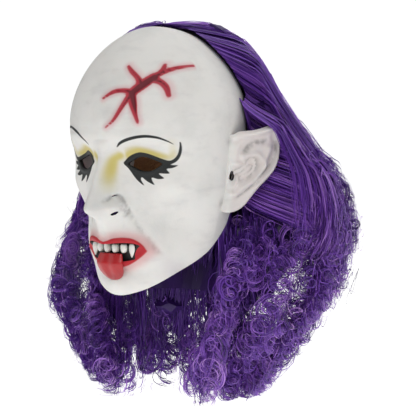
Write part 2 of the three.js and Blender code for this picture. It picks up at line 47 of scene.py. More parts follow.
# Studio: a white paper floor that sweeps up behind the mask, three soft lamps and the camera.
# The camera stands at the wearer's left, a little above the eyes, and frames the mask with its hair.
view_turn = math.radians(30)
view_rise = math.radians(5.5)
view_back = Vector((math.sin(view_turn) * math.cos(view_rise), -math.cos(view_turn) * math.cos(view_rise),
                    math.sin(view_rise)))
view_right = Vector((math.cos(view_turn), math.sin(view_turn), 0))
view_up = view_back.cross(view_right)
view_aim = Vector((0, 0, -0.131)) + view_right * 0.0507 - view_up * 0.0313
bpy.ops.object.select_all(action="DESELECT")
bpy.ops.object.camera_add(location=view_aim + view_back * 1.5,
                          rotation=(math.pi / 2 - view_rise, 0, view_turn))
camera = bpy.context.object
camera.name = "photo_camera"
camera.data.sensor_width = 36
camera.data.lens = 138.4
camera.data.clip_end = 20
bpy.context.scene.camera = camera
bpy.context.scene.view_settings.view_transform = "Standard"


def new_material(name):
    """A material with its own Principled shader, returned with its node tree and that shader."""
    material = bpy.data.materials.new(name)
    material.use_nodes = True
    tree = material.node_tree
    return material, tree, tree.nodes["Principled BSDF"]


def add_node(tree, kind, **settings):
    """A node of a kind; settings whose name is a socket go to the socket, others to the node itself."""
    node = tree.nodes.new(kind)
    for name, value in settings.items():
        socket = node.inputs.get(name.replace("_", " "))
        if socket is not None:
            socket.default_value = value
        else:
            setattr(node, name, value)
    return node


bpy.ops.mesh.primitive_plane_add(size=7, location=(0, 0, -0.62))
floor = bpy.context.object
floor.name = "studio_floor"
bpy.ops.object.mode_set(mode="EDIT")
bpy.ops.mesh.select_mode(type="EDGE")
bpy.ops.mesh.select_all(action="DESELECT")
bpy.ops.object.mode_set(mode="OBJECT")
for edge in floor.data.edges:
    edge.select = all(floor.data.vertices[i].co.y > 3 for i in edge.vertices)
bpy.ops.object.mode_set(mode="EDIT")
bpy.ops.mesh.extrude_region_move(TRANSFORM_OT_translate={"value": (0, 0, 4)})
bpy.ops.mesh.select_all(action="DESELECT")
bpy.ops.object.mode_set(mode="OBJECT")
for edge in floor.data.edges:
    ends = [floor.data.vertices[i].co for i in edge.vertices]
    edge.select = all(end.y > 3 and end.z < 0.1 for end in ends)
bpy.ops.object.mode_set(mode="EDIT")
bpy.ops.mesh.bevel(offset=1.2, segments=24)
bpy.ops.object.mode_set(mode="OBJECT")
bpy.ops.object.shade_smooth()
bpy.ops.object.transform_apply(location=True, rotation=True, scale=True)
paper, tree, shader = new_material("studio_paper")
shader.inputs["Roughness"].default_value = 0.9
shader.inputs["Specular IOR Level"].default_value = 0.1
shader.inputs["Emission Color"].default_value = (1, 1, 1, 1)
shader.inputs["Emission Strength"].default_value = 0.55
grain = add_node(tree, "ShaderNodeTexNoise", Scale=14.0, Detail=3.0)
place = add_node(tree, "ShaderNodeTexCoord")
tint = add_node(tree, "ShaderNodeMix", data_type="RGBA")
tint.inputs[6].default_value = (0.93, 0.93, 0.93, 1)
tint.inputs[7].default_value = (0.96, 0.96, 0.96, 1)
tree.links.new(place.outputs["Object"], grain.inputs["Vector"])
tree.links.new(grain.outputs["Fac"], tint.inputs[0])
tree.links.new(tint.outputs[2], shader.inputs["Base Color"])
floor.data.materials.append(paper)

for name, where, size, power in (
    ("key_lamp", (1.25, -1.35, 0.95), 1.3, 12),
    ("fill_lamp", (-1.5, -1.1, 0.45), 1.6, 4),
    ("top_lamp", (0.1, 0.5, 1.5), 1.5, 9),
):
    bpy.ops.object.light_add(type="AREA", location=where)
    lamp = bpy.context.object
    lamp.name = name
    lamp.data.size = size
    lamp.data.energy = power
    lamp.rotation_euler = (Vector((0, 0, -0.13)) - Vector(where)).to_track_quat("-Z", "Y").to_euler()
world = bpy.data.worlds.new("studio_air")
bpy.context.scene.world = world
world.use_nodes = True
world.node_tree.nodes["Background"].inputs["Color"].default_value = (1, 1, 1, 1)
world.node_tree.nodes["Background"].inputs["Strength"].default_value = 0.34


# Face: one hollow skin of cast latex with its ears, off-white, with eyes, brows, lips and gashes painted on.
# A ball is shaped ring by ring to the head form and the ears are joined on. Then the hollow, the open back,
# the eyes, the mouth, the nostrils and the ear holes are cut out.
CROWN_TO_CHIN, HALF_WIDTH, HEAD_FRONT, HEAD_BACK = 245.5, 75.5, 88.0, 97.5
DOME_DROP, LATEX_WALL = 86.0, 2.5
NOSE_OUT, NOSE_HALF_WIDTH = 33.0, 12.0
MOUTH_HALF_WIDTH, MOUTH_DROP, MOUTH_HEIGHT, MOUTH_FLOOR, LIP_OUT = 31.0, 198.0, 19.0, 67.5, 3.2

# Sections of the head: place, side, front, back, how much the face narrows, as shares of the sizes above
HEAD_SECTIONS = np.array([
    (0.345, 1.0, 1.0, 1.0, 0.15), (0.403, 0.994, 0.975, 1.01, 0.15), (0.464, 0.987, 0.905, 1.01, 0.17),
    (0.528, 0.974, 0.885, 0.99, 0.24), (0.645, 0.93, 0.88, 0.91, 0.42), (0.706, 0.885, 0.88, 0.86, 0.42),
    (0.766, 0.835, 0.865, 0.8, 0.35), (0.827, 0.775, 0.82, 0.76, 0.28), (0.887, 0.705, 0.755, 0.74, 0.22),
    (0.948, 0.61, 0.715, 0.72, 0.15), (0.984, 0.48, 0.65, 0.6, 0.1), (1.0, 0.32, 0.53, 0.4, 0.0)])
# Rounded forms of the face: place, across, tall, wide, out
FACE_FORMS = [
    (0.383, 0, 0.044, 0.19, 0.018), (0.398, 0.44, 0.03, 0.26, 0.034), (0.464, 0.43, 0.05, 0.22, -0.1),
    (0.577, 0.66, 0.062, 0.2, 0.05), (0.725, 0.68, 0.065, 0.17, -0.035), (0.645, 0.185, 0.024, 0.068, 0.09),
    (0.758, 0, 0.08, 0.35, 0.062), (0.89, 0, 0.02, 0.26, -0.03), (0.95, 0, 0.042, 0.2, 0.046)]
# The nose: place, out, wide
NOSE_SECTIONS = np.array([
    (0.4, 0.0, 0.62), (0.425, 0.12, 0.62), (0.464, 0.25, 0.58), (0.528, 0.53, 0.6), (0.59, 0.79, 0.74),
    (0.635, 0.99, 0.95), (0.655, 0.97, 1.02), (0.672, 0.72, 1.05), (0.69, 0.38, 1.0), (0.72, 0.16, 0.8),
    (0.76, 0.0, 0.7)])
# The lips: across, top of the upper lip, its edge, edge of the lower lip, its bottom
LIP_LINES = np.array([
    (0.0, 0.42, 0.3, -0.62, -0.92), (0.5, 0.58, 0.36, -0.54, -0.82), (0.8, 0.48, 0.28, -0.38, -0.56),
    (1.0, 0.05, 0.0, -0.02, -0.1)])

# Drawn lines on the face, in millimetres across from the middle and down from the crown.
# A third number is the line's half width there.
EYE_OPENING = [
    (18.6, 120.5), (21.3, 117.5), (25.1, 114.9), (29.5, 114.2), (34.8, 115.9), (39.6, 117.9),
    (44.6, 120.4), (41.3, 123.6), (37.5, 126.3), (31.5, 127.2), (26.2, 125.8), (22.6, 123.6)]
EYE_LINER = [
    (15.6, 119.8), (16.9, 117.3), (19.1, 114.2), (22.7, 111.6), (26.2, 110.2), (28.7, 110.0), (32.1, 111.0),
    (35.2, 112.4), (39.7, 114.4), (45.0, 116.5), (48.5, 117.6), (51.0, 117.2), (53.4, 115.4), (55.6, 112.2),
    (57.1, 108.2), (58.2, 104.0), (58.7, 100.8), (59.6, 101.6), (59.3, 106.1), (58.2, 110.9), (56.3, 115.7),
    (53.9, 118.9), (51.2, 120.6), (50.0, 121.3), (52.6, 121.7), (55.6, 121.9), (52.0, 124.2), (47.9, 125.0),
    (49.0, 127.0), (50.3, 129.0), (46.2, 129.2), (42.6, 128.9), (44.6, 131.1), (46.8, 133.3), (42.2, 134.0),
    (37.6, 132.6), (38.0, 135.6), (39.5, 139.4), (33.7, 135.9), (30.0, 132.3), (29.2, 134.6), (31.4, 139.9),
    (27.2, 136.1), (23.9, 131.6), (21.5, 127.6), (19.0, 123.6)]
BROW = [(13.2, 104.9, 0.4), (17.0, 101.4, 1.0), (23.0, 98.4, 1.3), (31.0, 96.0, 1.35), (38.5, 95.2, 1.3),
        (46.0, 96.5, 1.05), (51.5, 99.6, 0.7), (54.8, 102.7, 0.3)]
FAR_BROW = [(18.4, 103.8, 0.4), (20.6, 100.6, 0.9), (25.6, 96.6, 1.1), (32.0, 92.9, 1.2), (41.0, 90.2, 1.2),
            (50.0, 89.2, 1.0), (58.0, 90.6, 0.6)]
LIP_OUTLINE = [
    (0.0, 190.0), (4.0, 188.9), (8.0, 187.1), (13.0, 186.3), (18.0, 186.4), (22.4, 187.5),
    (26.0, 190.1), (28.8, 193.8), (30.6, 197.4), (31.2, 199.4), (29.2, 201.8), (25.3, 205.6),
    (20.7, 209.4), (15.6, 212.4), (8.0, 215.0), (0.0, 215.8)]
GASHES = [
    [(24.2, 57.1, 3.6), (31.0, 49.7, 4.1), (36.8, 43.4, 3.6)],
    [(30.0, 50.0, 2.6), (25.8, 43.9, 1.6), (19.5, 38.4, 1.4), (14.8, 33.8, 0.8)],
    [(35.0, 44.6, 3.0), (41.0, 39.3, 2.1), (48.0, 35.4, 1.5), (56.0, 33.3, 0.7)],
    [(39.0, 41.0, 2.0), (40.6, 36.6, 1.5), (40.2, 32.6, 0.9)],
    [(36.0, 45.0, 2.6), (42.6, 47.6, 1.9), (47.6, 52.6, 1.6), (50.8, 60.0, 1.0)],
    [(24.6, 56.2, 2.4), (17.0, 54.9, 1.6), (9.0, 56.4, 1.5), (0.8, 62.0, 0.6)],
    [(24.2, 58.0, 2.6), (20.0, 67.0, 1.7), (13.4, 80.4, 1.0), (6.6, 87.4, 0.2)],
    [(24.6, 58.0, 3.3), (27.6, 67.0, 2.7), (30.0, 75.0, 1.5), (32.6, 82.8, 0.8)],
]
ALAR_CREASE = [(8.6, 152.2, 0), (9.6, 149.0, 0), (12.0, 148.6, 0), (15.3, 152.4, 0), (18.0, 158.2, 0),
               (18.0, 162.6, 0), (16.4, 166.4, 0)]
CHEEK_FOLD = [(17.2, 156.0, 0), (19.6, 163.5, 0), (23.4, 173.1, 0), (28.1, 181.6, 0), (33.0, 191.0, 0),
              (36.5, 200.0, 0)]


def along(table, column, at):
    """Value of one column of a table at places, on a smooth curve through the rows."""
    places, values = table[:, 0], table[:, column]
    count = len(places)
    row = np.arange(count)
    before, after = np.maximum(row - 1, 0), np.minimum(row + 1, count - 1)
    slope = (values[after] - values[before]) / (places[after] - places[before])
    i = np.clip(np.searchsorted(places, at, side="right") - 1, 0, count - 2)
    span = places[i + 1] - places[i]
    t = np.clip((at - places[i]) / span, 0, 1)
    held = values[i] * (1 + 2 * t) * (1 - t) ** 2 + values[i + 1] * t * t * (3 - 2 * t)
    return held + span * (slope[i] * t * (1 - t) ** 2 - slope[i + 1] * t * t * (1 - t))


def bell(x, spread, power=2.0):
    return np.exp(-np.abs(x / spread) ** power)


def ease(x, start, end):
    t = np.clip((x - start) / (end - start), 0, 1)
    return t * t * (3 - 2 * t)


def smooth_line(points, steps=6, closed=False):
    """Points on a smooth curve through the given ones."""
    p = np.array(points, float)
    if closed:
        p = np.vstack([p[-1], p, p[:2]])
    else:
        p = np.vstack([2 * p[0] - p[1], p, 2 * p[-1] - p[-2]])
    t = np.arange(steps)[:, None] / steps
    parts = [0.5 * (2 * b + (c - a) * t + (2 * a - 5 * b + 4 * c - d) * t ** 2
                    + (3 * b - a - 3 * c + d) * t ** 3)
             for a, b, c, d in zip(p[:-3], p[1:-2], p[2:-1], p[3:])]
    return np.vstack(parts if closed else parts + [p[-2:-1]])


def reach_of_line(points, u, v):
    """How far inside a drawn line of varying half width each place (u, v) is; negative outside."""
    line = smooth_line(points)
    best = np.full(np.shape(u), -1e9)
    for (u0, v0, r0), (u1, v1, r1) in zip(line[:-1], line[1:]):
        du, dv = u1 - u0, v1 - v0
        t = np.clip(((u - u0) * du + (v - v0) * dv) / (du * du + dv * dv + 1e-12), 0, 1)
        best = np.maximum(best, r0 + (r1 - r0) * t - np.hypot(u - u0 - t * du, v - v0 - t * dv))
    return best


def reach_of_outline(outline, u, v):
    """How far inside a closed outline each place (u, v) is; negative outside."""
    nearest = np.full(np.shape(u), 1e9)
    inside = np.zeros(np.shape(u), bool)
    for (u0, v0), (u1, v1) in zip(outline, np.roll(outline, -1, axis=0)):
        du, dv = u1 - u0, v1 - v0
        t = np.clip(((u - u0) * du + (v - v0) * dv) / (du * du + dv * dv + 1e-12), 0, 1)
        nearest = np.minimum(nearest, np.hypot(u - u0 - t * du, v - v0 - t * dv))
        crosses = (v0 > v) != (v1 > v)
        with np.errstate(divide="ignore", invalid="ignore"):
            inside ^= crosses & (u < u0 + (v - v0) * du / dv)
    return np.where(inside, nearest, -nearest)


def head_form(drop, angle, grow):
    """Plain head at a drop and an angle from straight ahead, grown outwards."""
    reach = np.clip((DOME_DROP - drop) / (DOME_DROP + grow), 0, 1)
    at = drop / CROWN_TO_CHIN
    face_dome = (1 - reach ** 1.8) ** (1 / 1.8)
    side = face_dome * (HALF_WIDTH * along(HEAD_SECTIONS, 1, at) + grow)
    front = face_dome * (HEAD_FRONT * along(HEAD_SECTIONS, 2, at) + grow)
    back = (1 - reach ** 2.3) ** (1 / 2.3) * (HEAD_BACK * along(HEAD_SECTIONS, 3, at) + grow)
    across, ahead = np.sin(angle), np.cos(angle)
    power = np.where(ahead > 0, 1 + along(HEAD_SECTIONS, 4, at), 0.85)
    x = side * np.sign(across) * np.abs(across) ** power
    y = np.where(ahead > 0, -front, back) * np.abs(ahead) ** power
    return x, y


def main_relief(x, drop, inner):
    """How far the nose and the rounded forms of the face stand out of the head."""
    at = drop / CROWN_TO_CHIN
    out = NOSE_OUT * along(NOSE_SECTIONS, 1, at) * bell(x, NOSE_HALF_WIDTH * along(NOSE_SECTIONS, 2, at), 2.4)
    for place, across, tall, wide, forward in FACE_FORMS:
        if not (inner and place == 0.645):
            beside = bell(np.abs(x) / HALF_WIDTH - across, wide)
            out = out + HEAD_FRONT * forward * bell(at - place, tall) * beside
    if inner:
        pocket = (HEAD_FRONT * 0.935 - MOUTH_FLOOR + LATEX_WALL) * bell(x, MOUTH_HALF_WIDTH * 1.05, 4)
        return out - pocket * bell(drop - MOUTH_DROP, MOUTH_HEIGHT * 1.1, 4)
    share = np.minimum(1, np.abs(x) / MOUTH_HALF_WIDTH)
    for lip, edge in ((1, 2), (4, 3)):
        middle = (along(LIP_LINES, lip, share) + along(LIP_LINES, edge, share)) / 2 * MOUTH_HEIGHT
        roll = bell(MOUTH_DROP - drop - middle, MOUTH_HEIGHT * 0.26)
        out = out + LIP_OUT * bell(x, MOUTH_HALF_WIDTH * 1.02, 6) * roll
    return out


def mirrored_lips():
    """The whole closed outline of the painted lips."""
    half = smooth_line(LIP_OUTLINE)
    return np.vstack([half, half[-2:0:-1] * (-1, 1)])


def painted_reach(x, drop):
    """Reach inside each painted shape of the face, by name."""
    away = np.abs(x)
    liner = reach_of_outline(smooth_line(EYE_LINER, 3, closed=True), away, drop)
    brow = np.where(x > 0, reach_of_line(BROW, away, drop), reach_of_line(FAR_BROW, away, drop))
    gash = np.full(np.shape(x), -1e9)
    for line in GASHES:
        gash = np.maximum(gash, reach_of_line(line, x, drop))
    return {"liner": liner, "brow": brow, "gash": gash, "lips": reach_of_outline(mirrored_lips(), x, drop),
            "opening": reach_of_outline(smooth_line(EYE_OPENING, 4, closed=True), away, drop)}


def below_chin_crease(x, drop):
    """How far each place is below the curved crease between the lower lip and the chin."""
    return drop - 217.5 + 0.012 * x * x


def fine_relief(x, drop):
    """Small cast forms: lid rims, nose wings, folds beside the mouth, lip edges and the carved gashes."""
    away = np.abs(x)
    paint = painted_reach(x, drop)
    out = 1.3 * bell(paint["opening"] + 1.4, 2.0)
    out += 0.35 * ease(paint["liner"], -0.4, 0.5) + 0.3 * ease(paint["brow"], -0.5, 0.4)
    wing = reach_of_line(ALAR_CREASE, away, drop)
    out += 1.6 * bell(np.hypot(away - 12.6, drop - 157.5), 4.6) - 3.0 * bell(wing, 1.7)
    fold = reach_of_line(CHEEK_FOLD, away, drop)
    out -= 0.9 * bell(fold, 2.4) * ease(drop, 154, 162)
    out += 0.7 * bell(fold + 5.0, 4.5) * (away > 16) * ease(drop, 158, 168)
    out -= 0.8 * bell(x, 2.4) * bell(drop - 180.5, 6.5, 4)
    out += 0.4 * bell(away - 4.6, 2.0) * bell(drop - 181, 7, 4)
    out += 0.7 * ease(paint["lips"], -0.6, 1.4) - 0.4 * bell(paint["lips"] + 1.4, 1.2)
    out -= 1.0 * bell(below_chin_crease(x, drop), 3.2) * bell(x, 21, 4)
    gash = paint["gash"]
    out += 0.9 * bell(gash + 0.6, 1.1) - 1.6 * ease(gash, 0.2, 2.4)
    return out


def face_form(drop, angle, grow=LATEX_WALL, inner=False, fine=False):
    """Points of the face at drops and angles, in millimetres."""
    x, y = head_form(drop, angle, grow)
    sideways = x * ease(np.abs(x), HALF_WIDTH * 0.3, HALF_WIDTH * 0.8)
    length = np.hypot(sideways, y) + 1e-9
    relief = main_relief(x, drop, inner)
    if fine:
        relief = relief + fine_relief(x, drop)
    relief = np.where(y < 0, ease(-y, 0, HEAD_FRONT * 0.35) * relief, 0)
    return np.stack([x + sideways / length * relief, y + y / length * relief, -drop + 0 * x], axis=-1)


def half_ring(*runs):
    """Angles from 0 to half a turn in runs of (end, step), then back round the other side."""
    half = [0.0]
    for end, step in runs:
        count = max(1, round((end - half[-1]) / step))
        start = half[-1]
        half.extend(start + (end - start) * (k + 1) / count for k in range(count))
    return np.array(half + [-a for a in half[-2:0:-1]])


def rows_of(*runs):
    """Even rows below the dome, in runs of (end, step)."""
    rows = []
    last = DOME_DROP
    for end, step in runs:
        count = max(1, round((end - last) / step))
        rows.extend(last + (end - last) * (k + 1) / count for k in range(count))
        last = end
    return rows


def shaped_ball(name, drops, angles, point_at):
    """A ball whose rings and segments are moved to the drops and angles of a form."""
    bpy.ops.object.select_all(action="DESELECT")
    bpy.ops.mesh.primitive_uv_sphere_add(segments=len(angles), ring_count=len(drops) + 1, radius=1)
    ball = bpy.context.object
    ball.name = name
    co = np.empty(len(ball.data.vertices) * 3)
    ball.data.vertices.foreach_get("co", co)
    co = co.reshape(-1, 3)
    ring = np.rint(np.arccos(np.clip(co[:, 2], -1, 1)) / math.pi * (len(drops) + 1)).astype(int)
    turn = np.arctan2(co[:, 1], co[:, 0]) + math.pi / 2
    segment = np.rint(turn / (2 * math.pi) * len(angles)).astype(int) % len(angles)
    grid = point_at(np.array(drops)[:, None], np.array(angles)[None, :])
    is_ring = (ring > 0) & (ring <= len(drops))
    co[is_ring] = grid[ring[is_ring] - 1, segment[is_ring]]
    co[ring == 0] = grid[0].mean(axis=0)
    co[ring > len(drops)] = grid[-1].mean(axis=0)
    ball.data.vertices.foreach_set("co", (co * MM).ravel())
    ball.data.update()
    return ball


def select_only(piece):
    bpy.ops.object.select_all(action="DESELECT")
    piece.select_set(True)
    bpy.context.view_layer.objects.active = piece


def recalculate(piece):
    """Turns the faces of a closed piece outwards."""
    select_only(piece)
    bpy.ops.object.mode_set(mode="EDIT")
    bpy.ops.mesh.select_all(action="SELECT")
    bpy.ops.mesh.normals_make_consistent(inside=False)
    bpy.ops.object.mode_set(mode="OBJECT")


def plate(name, outline, axis, start, end):
    """A flat plate cut to an outline in millimetres and pulled along an axis, for cutting with."""
    bpy.ops.object.select_all(action="DESELECT")
    bpy.ops.mesh.primitive_circle_add(vertices=len(outline), radius=1, fill_type="NGON")
    made = bpy.context.object
    made.name = name
    first, second = [k for k in range(3) if k != axis]
    for vertex, (u, v) in zip(made.data.vertices, outline):
        vertex.co[axis], vertex.co[first], vertex.co[second] = start * MM, u * MM, v * MM
    pull = [0, 0, 0]
    pull[axis] = (end - start) * MM
    bpy.ops.object.mode_set(mode="EDIT")
    bpy.ops.mesh.select_all(action="SELECT")
    bpy.ops.mesh.extrude_region_move(TRANSFORM_OT_translate={"value": pull})
    bpy.ops.object.mode_set(mode="OBJECT")
    recalculate(made)
    return made


def carve(piece, tool, operation="DIFFERENCE"):
    """Cuts a tool piece out of a piece, or joins it on, and removes the tool."""
    modifier = piece.modifiers.new("carve", "BOOLEAN")
    modifier.operation = operation
    modifier.solver = "MANIFOLD"
    modifier.object = tool
    select_only(piece)
    bpy.ops.object.modifier_apply(modifier=modifier.name)
    bpy.data.objects.remove(tool)


def vertex_places(piece):
    co = np.empty(len(piece.data.vertices) * 3)
    piece.data.vertices.foreach_get("co", co)
    return co.reshape(-1, 3) / MM


def dome_rows(count, grow):
    return [DOME_DROP - (DOME_DROP + grow) * math.cos((k + 1) / count * math.pi / 2) for k in range(count)]


CHIN_END = CROWN_TO_CHIN * 0.984
fine_rows = rows_of((100, 1.0), (144, 0.72), (178, 1.0), (218, 0.85), (CHIN_END, 1.25))
fine_drops = dome_rows(62, LATEX_WALL) + fine_rows
fine_angles = half_ring((0.98, 0.0108), (1.6, 0.02), (2.4, 0.04), (math.pi, 0.15))
face = shaped_ball("face_skin", fine_drops + [CROWN_TO_CHIN + LATEX_WALL], fine_angles,
                   lambda drop, angle: face_form(drop, angle, fine=True))

# The ear in its own plane: millimetres back and up from the ear hole, and out from the plane
EAR_OUTLINE = [
    (-3.0, 33.0), (5.6, 35.2), (11.0, 37.9), (17.9, 39.0), (25.0, 39.9), (33.3, 42.2), (40.6, 45.0),
    (46.6, 46.8), (49.2, 43.0), (52.0, 36.4), (53.4, 30.2), (53.8, 20.4), (52.4, 11.4), (48.6, 3.0),
    (41.7, -5.4), (34.4, -13.0), (27.2, -21.8), (21.8, -28.8), (16.0, -33.6), (8.7, -36.4),
    (1.9, -36.8), (-3.4, -33.6), (-6.0, -26.5), (-9.0, -14.0), (-9.0, 2.0), (-8.0, 18.0)]
EAR_RIDGES = [
    # points, spread, height
    ([(6.0, -19.5, 0), (9.4, -19.4, 0), (16.7, -13.4, 0), (24.2, -8.6, 0), (31.7, -3.0, 0), (36.4, 3.4, 0),
      (38.0, 10.0, 0), (39.6, 17.0, 0), (42.0, 23.4, 0)], 3.2, 3.1),
    ([(36.6, 8.0, 0), (34.6, 13.4, 0), (29.6, 17.4, 0), (22.4, 16.8, 0), (15.6, 15.6, 0)], 3.0, 2.9),
    ([(3.0, 9.6, 0), (8.0, 8.6, 0), (13.3, 8.2, 0), (18.0, 9.6, 0)], 2.2, 2.4),
    ([(2.0, 6.0, 0), (2.4, 0.0, 0), (1.6, -7.0, 0)], 2.2, 2.2),
    ([(11.4, -2.6, 0), (11.8, -7.6, 0), (8.0, -12.6, 0)], 1.6, 1.2),
    ([(8.0, 14.0, 0), (8.6, 22.0, 0), (12.4, 29.4, 0), (21.0, 34.6, 0), (33.0, 38.4, 0),
      (43.0, 40.6, 0)], 3.4, 2.2),
]
EAR_HOLLOWS = [
    # points, spread, depth
    ([(18.0, 20.4, 0), (23.0, 26.0, 0), (30.0, 28.8, 0), (37.6, 30.6, 0)], 3.4, 2.0),
    ([(48.0, 30.0, 0), (49.0, 20.0, 0), (45.6, 12.0, 0), (41.0, 5.0, 0), (34.0, -3.4, 0)], 1.9, 1.2),
    ([(34.0, -6.4, 0), (26.3, -12.0, 0), (19.8, -17.6, 0), (12.0, -22.4, 0), (4.0, -23.4, 0)], 1.5, 1.1),
    ([(28.6, 12.6, 0), (29.6, 6.0, 0), (25.0, -0.4, 0), (17.0, -5.0, 0)], 4.0, 3.4),
    ([(24.0, 11.6, 0), (16.0, 3.6, 0), (10.0, 0.0, 0), (7.0, -4.0, 0)], 4.0, 3.4),
]
EAR_FLARE, EAR_LEAN = math.radians(36), math.radians(4)
EAR_BACK, EAR_DROP = 4, 131
ear_root = HALF_WIDTH * float(along(HEAD_SECTIONS, 1, EAR_DROP / CROWN_TO_CHIN)) + LATEX_WALL - 1


def ear_place(side, back, up, out):
    """Moves ear places (back, up, out) onto the side of the head."""
    y = back * math.cos(EAR_LEAN) + up * math.sin(EAR_LEAN)
    z = up * math.cos(EAR_LEAN) - back * math.sin(EAR_LEAN)
    x = out * math.cos(EAR_FLARE) + y * math.sin(EAR_FLARE)
    y = y * math.cos(EAR_FLARE) - out * math.sin(EAR_FLARE)
    return np.stack([side * (ear_root + x), y + EAR_BACK, z - EAR_DROP], axis=-1)


def ear_plane(x, y, z):
    """The reverse: ear places (back, up, out) of points beside the head."""
    x, y, z = np.abs(x) - ear_root, y - EAR_BACK, z + EAR_DROP
    out = x * math.cos(EAR_FLARE) - y * math.sin(EAR_FLARE)
    y = x * math.sin(EAR_FLARE) + y * math.cos(EAR_FLARE)
    back = y * math.cos(EAR_LEAN) - z * math.sin(EAR_LEAN)
    up = z * math.cos(EAR_LEAN) + y * math.sin(EAR_LEAN)
    return back, up, out


def ear_relief(back, up, edge):
    """Height of the ear's outer side, from ridges and hollows and a rolled rim."""
    rim = ease(up, -24, 4) * (0.35 + 0.65 * ease(back, 0, 14))
    out = 0.4 + 2.7 * rim * bell(edge - 2.7, 2.3) - 1.0 * rim * bell(edge - 7.0, 2.4)
    for points, spread, height in EAR_RIDGES:
        out = out + height * bell(reach_of_line(points, back, up), spread)
    for points, spread, depth in EAR_HOLLOWS:
        out = out - depth * bell(reach_of_line(points, back, up), spread)
    return out


def make_ear(side):
    """One ear: a ball flattened to the ear outline, its outer side modelled and its root sunk in."""
    outline = smooth_line(EAR_OUTLINE, 5, closed=True)
    middle = np.array([20.0, 6.0])
    rim_shares = 0.9 + 0.1 * np.sin(np.linspace(0.1, 1, 9) * math.pi / 2)
    shares = np.concatenate([np.linspace(0.03, 0.9, 30), rim_shares])
    steps = np.concatenate([shares, -shares[-2::-3]])

    def point_at(step, spoke):
        share = np.abs(step)
        edge_point = outline[np.rint(spoke).astype(int)]
        at = middle + (edge_point - middle) * share[..., None]
        back, up = at[..., 0], at[..., 1]
        edge = reach_of_outline(outline, back, up)
        thick = 3.6 * np.sqrt(np.clip(1 - (1 - np.clip(edge, 0, 3.2) / 3.2) ** 2, 0, 1))
        relief = ear_relief(back, up, edge) * ease(edge, -0.2, 1.6)
        out = np.where(step > 0, relief + thick * 0.2, relief * 0.35 - thick)
        out = np.where((step > 0) & (share >= 1), 0.2, out)
        return ear_place(side, back, up, out - 6 * ease(back, 5, -6))

    return shaped_ball("ear", steps, np.arange(len(outline)), point_at)


for side in (1, -1):
    ear = make_ear(side)
    recalculate(ear)
    carve(face, ear, "UNION")

# Paint and latex of the face
latex, tree, latex_shader = new_material("painted_latex")
inside_latex, inside_tree, inside_shader = new_material("bare_latex")
mouth_black, mouth_tree, mouth_shader = new_material("black_mouth")
face.data.materials.clear()
face.data.materials.append(latex)

hollow_drops = dome_rows(18, 0) + rows_of((CHIN_END, 3.0))
hollow_angles = half_ring((1.0, 0.045), (1.9, 0.1), (math.pi, 0.3))
hollow = shaped_ball("hollow", hollow_drops + [CROWN_TO_CHIN], hollow_angles,
                     lambda drop, angle: face_form(drop, angle, 0, inner=True))
hollow.data.materials.append(inside_latex)
carve(face, hollow)

# Rear edge of the latex seen from the side, from over the crown to under the chin: back, drop
LATEX_EDGE = [
    (0.55, -0.1), (0.56, 0.0), (0.6, 0.12), (0.68, 0.2), (0.72, 0.26), (0.68, 0.34), (0.63, 0.53),
    (0.48, 0.64), (0.26, 0.685), (0.19, 0.745), (-0.03, 0.83), (-0.34, 0.905), (-0.52, 0.955),
    (-0.66, 1.0), (-0.69, 1.1)]
edge_line = smooth_line([(back * HEAD_BACK, -drop * CROWN_TO_CHIN) for back, drop in LATEX_EDGE], 4)
far_corners = [(-66, -480), (290, -480), (290, 120), (60, 120)]
behind = plate("behind", list(map(tuple, edge_line)) + far_corners, 0, -240, 240)
behind.data.materials.append(inside_latex)
carve(face, behind)

eye_outline = smooth_line(EYE_OPENING, 4, closed=True)
for side in (1, -1):
    opening = plate("eye_cut", [(side * x, -drop) for x, drop in eye_outline], 1, -20, -115)
    opening.data.materials.append(mouth_black)
    carve(face, opening)
stations = np.linspace(-1, 1, 37)
upper = [(t * MOUTH_HALF_WIDTH, along(LIP_LINES, 2, abs(t)) * MOUTH_HEIGHT - MOUTH_DROP) for t in stations]
lower = [(t * MOUTH_HALF_WIDTH, along(LIP_LINES, 3, abs(t)) * MOUTH_HEIGHT - MOUTH_DROP)
         for t in stations[-2:0:-1]]
mouth_cut = plate("mouth_cut", [(float(x), float(z)) for x, z in upper + lower], 1, -MOUTH_FLOOR, -125)
mouth_cut.data.materials.append(mouth_black)
carve(face, mouth_cut)


def bore(radius, depth, place, turned, stretch):
    """Drills an oval hole into the face, at a place in millimetres."""
    bpy.ops.object.select_all(action="DESELECT")
    bpy.ops.mesh.primitive_cylinder_add(vertices=24, radius=radius * MM, depth=depth * MM, rotation=turned,
                                        location=[part * MM for part in place], scale=stretch)
    drill = bpy.context.object
    bpy.ops.object.transform_apply(location=True, rotation=True, scale=True)
    drill.data.materials.append(mouth_black)
    carve(face, drill)


for side in (1, -1):
    bore(2.1, 20, (side * 12.2, -84.5, -162.2), (math.pi / 2 + 0.5, 0, side * 0.25), (1.35, 0.85, 1))
    bore(3.0, 34, (side * 78.6, 9.1, -134.4), (0, math.pi / 2, side * -0.6), (1.5, 1, 1))
select_only(face)
bpy.ops.object.shade_smooth_by_angle(angle=math.radians(50))


def add_attribute(piece, name, values):
    attribute = piece.data.attributes.new(name, "FLOAT", "POINT")
    attribute.data.foreach_set("value", np.asarray(values, np.float32))


